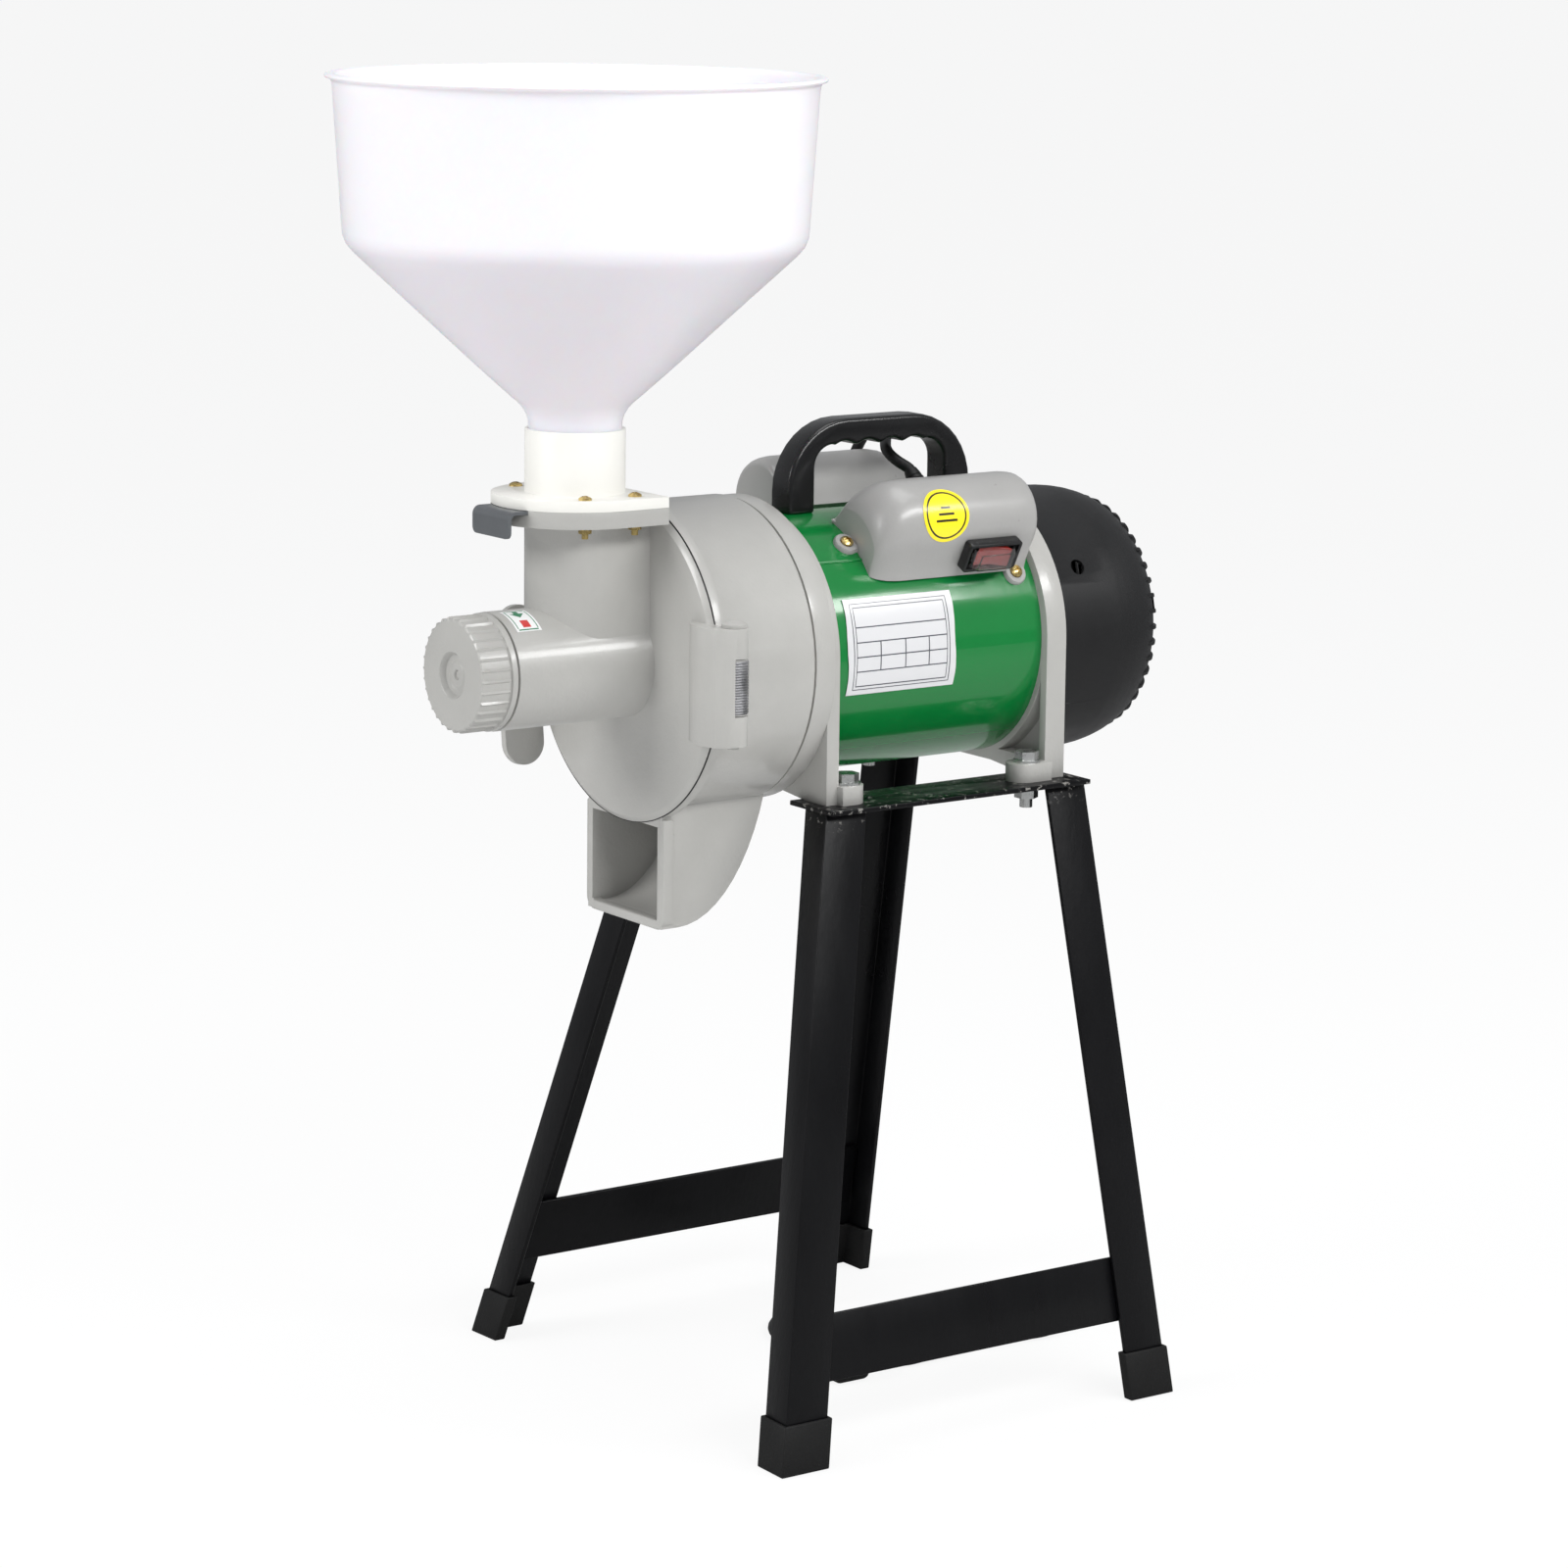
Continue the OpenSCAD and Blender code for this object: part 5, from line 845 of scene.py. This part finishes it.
# switch: its clear boot, its bezel and its rocker
bootSpec = {"y": 214, "low": 4, "high": 12.5, "narrow": 0.3}
boot = castCopy("switch_boot", 0.0001, 30, 1)
bootFoot, bootTop = (mm(*boxSide(1, bootSpec["y"], out)) for out in (bootSpec["low"], bootSpec["high"]))
bootUp = (bootTop - bootFoot).normalized()
for vertex in boot.data.vertices:      # the clear cap narrows above the bezel's rim
    height = (vertex.co - bootFoot).dot(bootUp)
    axis = bootFoot + bootUp * height
    if height > 0:
        share = min(1, height / (bootTop - bootFoot).length)
        vertex.co = axis + (vertex.co - axis) * (1 - bootSpec["narrow"] * share)
soften(boot, 0.0006, 2, 30)
smooth(boot, 25)
fit(boot, "boot_moulding", "machine", clearBoot, "clear_boot", "switch_boot")
bezel = castCopy("switch_bezel", 0.0006, 30)
fit(bezel, "bezel_moulding", "machine", glossBlack, "gloss_black", "switch_bezel")
rocker = castCopy("rocker_switch", 0.0007, 30, 3)
fit(rocker, "rocker_moulding", "rocker", redLens, "red_lens", "rocker_switch")

# ribbed steel sleeve round the hinge's middle knuckle
ribSpec = {"core": 8.1, "out": 8.95, "in": 8.3, "pitch": 0.785, "count": 40, "high": 32.2,
           "place": (108, 4, 447.9)}
ribRings = [(ribSpec["out"] if i % 2 else ribSpec["in"], 0.4 + i * ribSpec["pitch"])
            for i in range(ribSpec["count"])]
ribRings = [(ribSpec["core"], 0)] + ribRings + [(ribSpec["core"], ribSpec["high"])]
ribbed = turnedMm(ribRings, 40)
ribbed.location = mm(*ribSpec["place"])
settle(ribbed)
outward(ribbed)
smooth(ribbed, 60)
fit(ribbed, "hinge_ribs", "machine", ribSteel, "bright_steel")

# raised lip round the chute's mouth
lipSpec = {"half": 42.2, "low": 161, "arm": 93, "corner": 8, "wall": 5.9, "inner": 3, "y0": 0.05, "y1": 7.4}


def lipOutline():
    f = lipSpec
    inHalf, inLow = f["half"] - f["wall"], f["low"] - f["wall"]
    outer, inner, arm = f["corner"], f["inner"], f["arm"]
    points = [(f["half"], -arm)] + arcPoints(f["half"] - outer, outer - f["low"], outer, 0, -90, 15)
    points += arcPoints(outer - f["half"], outer - f["low"], outer, -90, -180, 15)
    points += [(-f["half"], -arm), (-inHalf, -arm)]
    points += arcPoints(inner - inHalf, inner - inLow, inner, -180, -90, 30)
    points += arcPoints(inHalf - inner, inner - inLow, inner, -90, 0, 30) + [(inHalf, -arm)]
    return [mm(x, f["y0"], shaft * 1000 + z) for x, z in points]


lip = slab(lipOutline(), (0, (lipSpec["y1"] - lipSpec["y0"]) / 1000, 0))
soften(lip, 0.001, 3, 50)
smooth(lip, 40)
fit(lip, "chute_lip", "machine", greyEnamel, "grey_paint")

# edge of the cover seal in the seam, clear of the flange above it: a black rubber ring that is partly the
# seal's real edge and partly painted shade for the seam's dark gap
seamRingSpec = {"rings": [(98.5, -0.3), (99.62, -0.3), (99.62, 0.45), (98.5, 0.45)], "below": 0.0925}
sealEdgeAndSeamShade = turnedMm(seamRingSpec["rings"], 160, (False, False))
closeRings(sealEdgeAndSeamShade)
layAlong(sealEdgeAndSeamShade, 0)
choose(sealEdgeAndSeamShade, lambda c, n: c.z > shaft + seamRingSpec["below"])
bpy.ops.mesh.delete(type="FACE")
bpy.ops.mesh.select_all(action="SELECT")
bpy.ops.mesh.fill_holes(sides=4)
bpy.ops.object.mode_set(mode="OBJECT")
outward(sealEdgeAndSeamShade)
smooth(sealEdgeAndSeamShade, 30)
fit(sealEdgeAndSeamShade, "seal_edge_and_seam_shade", "machine", sealRubber, "seal_rubber")

# cast ring that closes the space between housing and front bracket
ringSpec = {"rings": [(78, 74.5), (93.2, 74.5), (93.2, 87.2), (92.6, 88.6), (78, 88.6)]}
collarRing = turnedMm(ringSpec["rings"], 128, (False, False))
closeRings(collarRing)
layAlong(collarRing, 0)
outward(collarRing)
smooth(collarRing, 40)
fit(collarRing, "bracket_ring", "machine", greyEnamel, "grey_paint")

# fan cover: the CAD form with its ribs cut down to follow the dome, and short fins round the edge
fanSpec = {"y": 270, "radius": 84, "skirt": 40, "face": 66, "length": 84, "proud": 1.5, "fins": 46,
           "finWide": 2.6, "finHigh": 1.9, "finDeep": -1.2, "finFrom": 52, "finOver": 34}


def domeRing(angle, more):      # radius and height of a point on the dome, and a little more outward
    f, a = fanSpec, math.radians(angle)
    return ((f["face"] + (f["radius"] - f["face"] + more) * math.cos(a)) / 1000,
            (f["skirt"] + (f["length"] - f["skirt"] + more) * math.sin(a)) / 1000)


fanCopy = castCopy("fan_cover", 0.0001, 60, 1)
for vertex in fanCopy.data.vertices:
    r = math.hypot(vertex.co.x, vertex.co.z - shaft) * 1000
    out = max(0, r - fanSpec["face"]) / (fanSpec["radius"] - fanSpec["face"])
    domeHigh = fanSpec["skirt"] + (fanSpec["length"] - fanSpec["skirt"]) * math.sqrt(max(0, 1 - out * out))
    vertex.co.y = min(vertex.co.y, seam + (fanSpec["y"] + domeHigh + fanSpec["proud"]) / 1000)
bpy.ops.mesh.primitive_grid_add(x_subdivisions=1, y_subdivisions=12, size=1)
fin = bpy.context.object
modify(fin, "SOLIDIFY", thickness=1, offset=0)
for vertex in fin.data.vertices:
    share = vertex.co.y + 0.5
    angle = fanSpec["finFrom"] + fanSpec["finOver"] * share
    high = fanSpec["finHigh"] * min(1, share * 4) if vertex.co.z > 0 else fanSpec["finDeep"]
    r, y = domeRing(angle, high)
    vertex.co = (r, math.copysign(fanSpec["finWide"] / 2000, vertex.co.x), y)
soften(fin, 0.0004, 1, 50)
fins = [fin]
for i in range(1, fanSpec["fins"]):
    pick(fin)
    bpy.ops.object.duplicate()
    nextFin = bpy.context.object
    nextFin.rotation_euler = (0, 0, 2 * math.pi * i / fanSpec["fins"])
    fins.append(nextFin)
for each in fins:
    settle(each)
pick(*fins)
bpy.ops.object.join()
layAlong(fin, fanSpec["y"])
outward(fin)
smooth(fin, 35)
smooth(fanCopy, 35)
pick(fanCopy, fin)
bpy.ops.object.join()
fit(fanCopy, "fan_cover_moulding", "machine", mattBlack, "black_plastic", "fan_cover")

# the other nodes keep their CAD form and take their finish here
finishes = {"flange_screws": yellowZinc, "flange_nuts": yellowZinc, "gate_plate": darkSheet,
            "cover_seal": sealRubber, "fixed_disc": bareIron, "disc_screws": brightZinc,
            "feed_auger": bareIron, "thrust_sleeve": groundSteel, "thrust_bush": sinteredBronze,
            "guide_screw": brightZinc, "hinge_pin": greyEnamel, "housing_bolts": brightZinc,
            "shaft_seal": sealRubber, "rotating_disc": bareIron, "disc_holder": bareIron,
            "motor_shaft": groundSteel, "front_bearing": groundSteel, "rear_bearing": groundSteel,
            "motor_barrel": greenEnamel, "stator_core": lamination, "stator_windings": copperWire,
            "rotor_core": lamination, "tie_rods": brightZinc, "cooling_fan": mattBlack,
            "case_screws": yellowZinc, "run_capacitor": canAluminium, "start_capacitor": mattBlack,
            "motor_bolts": brightZinc, "cord_tie": tieWhite, "plug_pins": pinBrass}
for node, look in finishes.items():
    piece = frame["nodes"][node]
    piece.data.materials.clear()
    piece.data.materials.append(look)
    for face in piece.data.polygons:
        face.material_index = 0
print("finishes given")

# floor, light and background
studio = {"floor": 90, "drop": -0.0005, "paper": 0.9, "mirrored": 0.45, "share": 0.88,
          "white": (1, 1, 1, 1), "sky": (0.95, 0.97, 1, 1), "skyLight": 0.4,
          "lights": [((2.0, 0.5, 1.8), 0.45, (2.4, 0.45), 46),      # strip for the barrel's highlight
                     ((-0.6, -2.6, 1.9), 0.5, (1.6, 1.2), 52),      # key from the front left
                     ((0.3, 0.2, 3.0), 0.4, (1.8, 1.8), 26)]}       # overhead fill


def emptied(look):
    look.use_nodes = True
    look.node_tree.nodes.clear()
    return look


def seenDirectly(look, ray):      # one for what the camera sees, straight or through clear plastic
    return maths(look, "MAXIMUM", ray["Is Camera Ray"], ray["Is Transmission Ray"])


def mixShaders(look, end, factor, first, second):
    mix = add(look, "ShaderNodeMixShader")
    for socket, source in zip(mix.inputs, (factor, first.outputs[0], second.outputs[0])):
        wire(look, source, socket)
    wire(look, mix.outputs[0], add(look, end).inputs["Surface"])


bpy.ops.mesh.primitive_plane_add(size=studio["floor"], location=(0, 0, studio["drop"]))
floor = bpy.context.object
floor.name = "studio_floor"
paper = emptied(bpy.data.materials.new("paperFloor"))
ray = add(paper, "ShaderNodeLightPath").outputs
matt = add(paper, "ShaderNodeBsdfDiffuse")
# the paper is dimmer in reflections
paperTone = ranged(paper, ray["Is Glossy Ray"], (0, 1), (studio["paper"], studio["mirrored"]))
wire(paper, paperTone, matt.inputs["Color"])
glow = add(paper, "ShaderNodeEmission", Color=studio["white"], Strength=1.0)
glowShare = maths(paper, "MULTIPLY", seenDirectly(paper, ray), studio["share"])
mixShaders(paper, "ShaderNodeOutputMaterial", glowShare, matt, glow)
floor.data.materials.append(paper)

world = emptied(bpy.data.worlds.new("softStudio"))
bpy.context.scene.world = world
ray = add(world, "ShaderNodeLightPath").outputs
dim = add(world, "ShaderNodeBackground", Color=studio["sky"], Strength=studio["skyLight"])
bright = add(world, "ShaderNodeBackground", Color=studio["white"], Strength=1.0)
mixShaders(world, "ShaderNodeOutputWorld", seenDirectly(world, ray), dim, bright)
for place, aim, size, power in studio["lights"]:
    bpy.ops.object.light_add(type="AREA", location=place)
    lamp = bpy.context.object
    lamp.data.shape = "RECTANGLE"
    lamp.data.size, lamp.data.size_y = size
    lamp.data.energy = power
    lamp.rotation_mode = "QUATERNION"
    lamp.rotation_quaternion = (Vector((0, 0, aim)) - Vector(place)).to_track_quat("-Z", "Y")
print("floor and lights set")

print("scene finished")
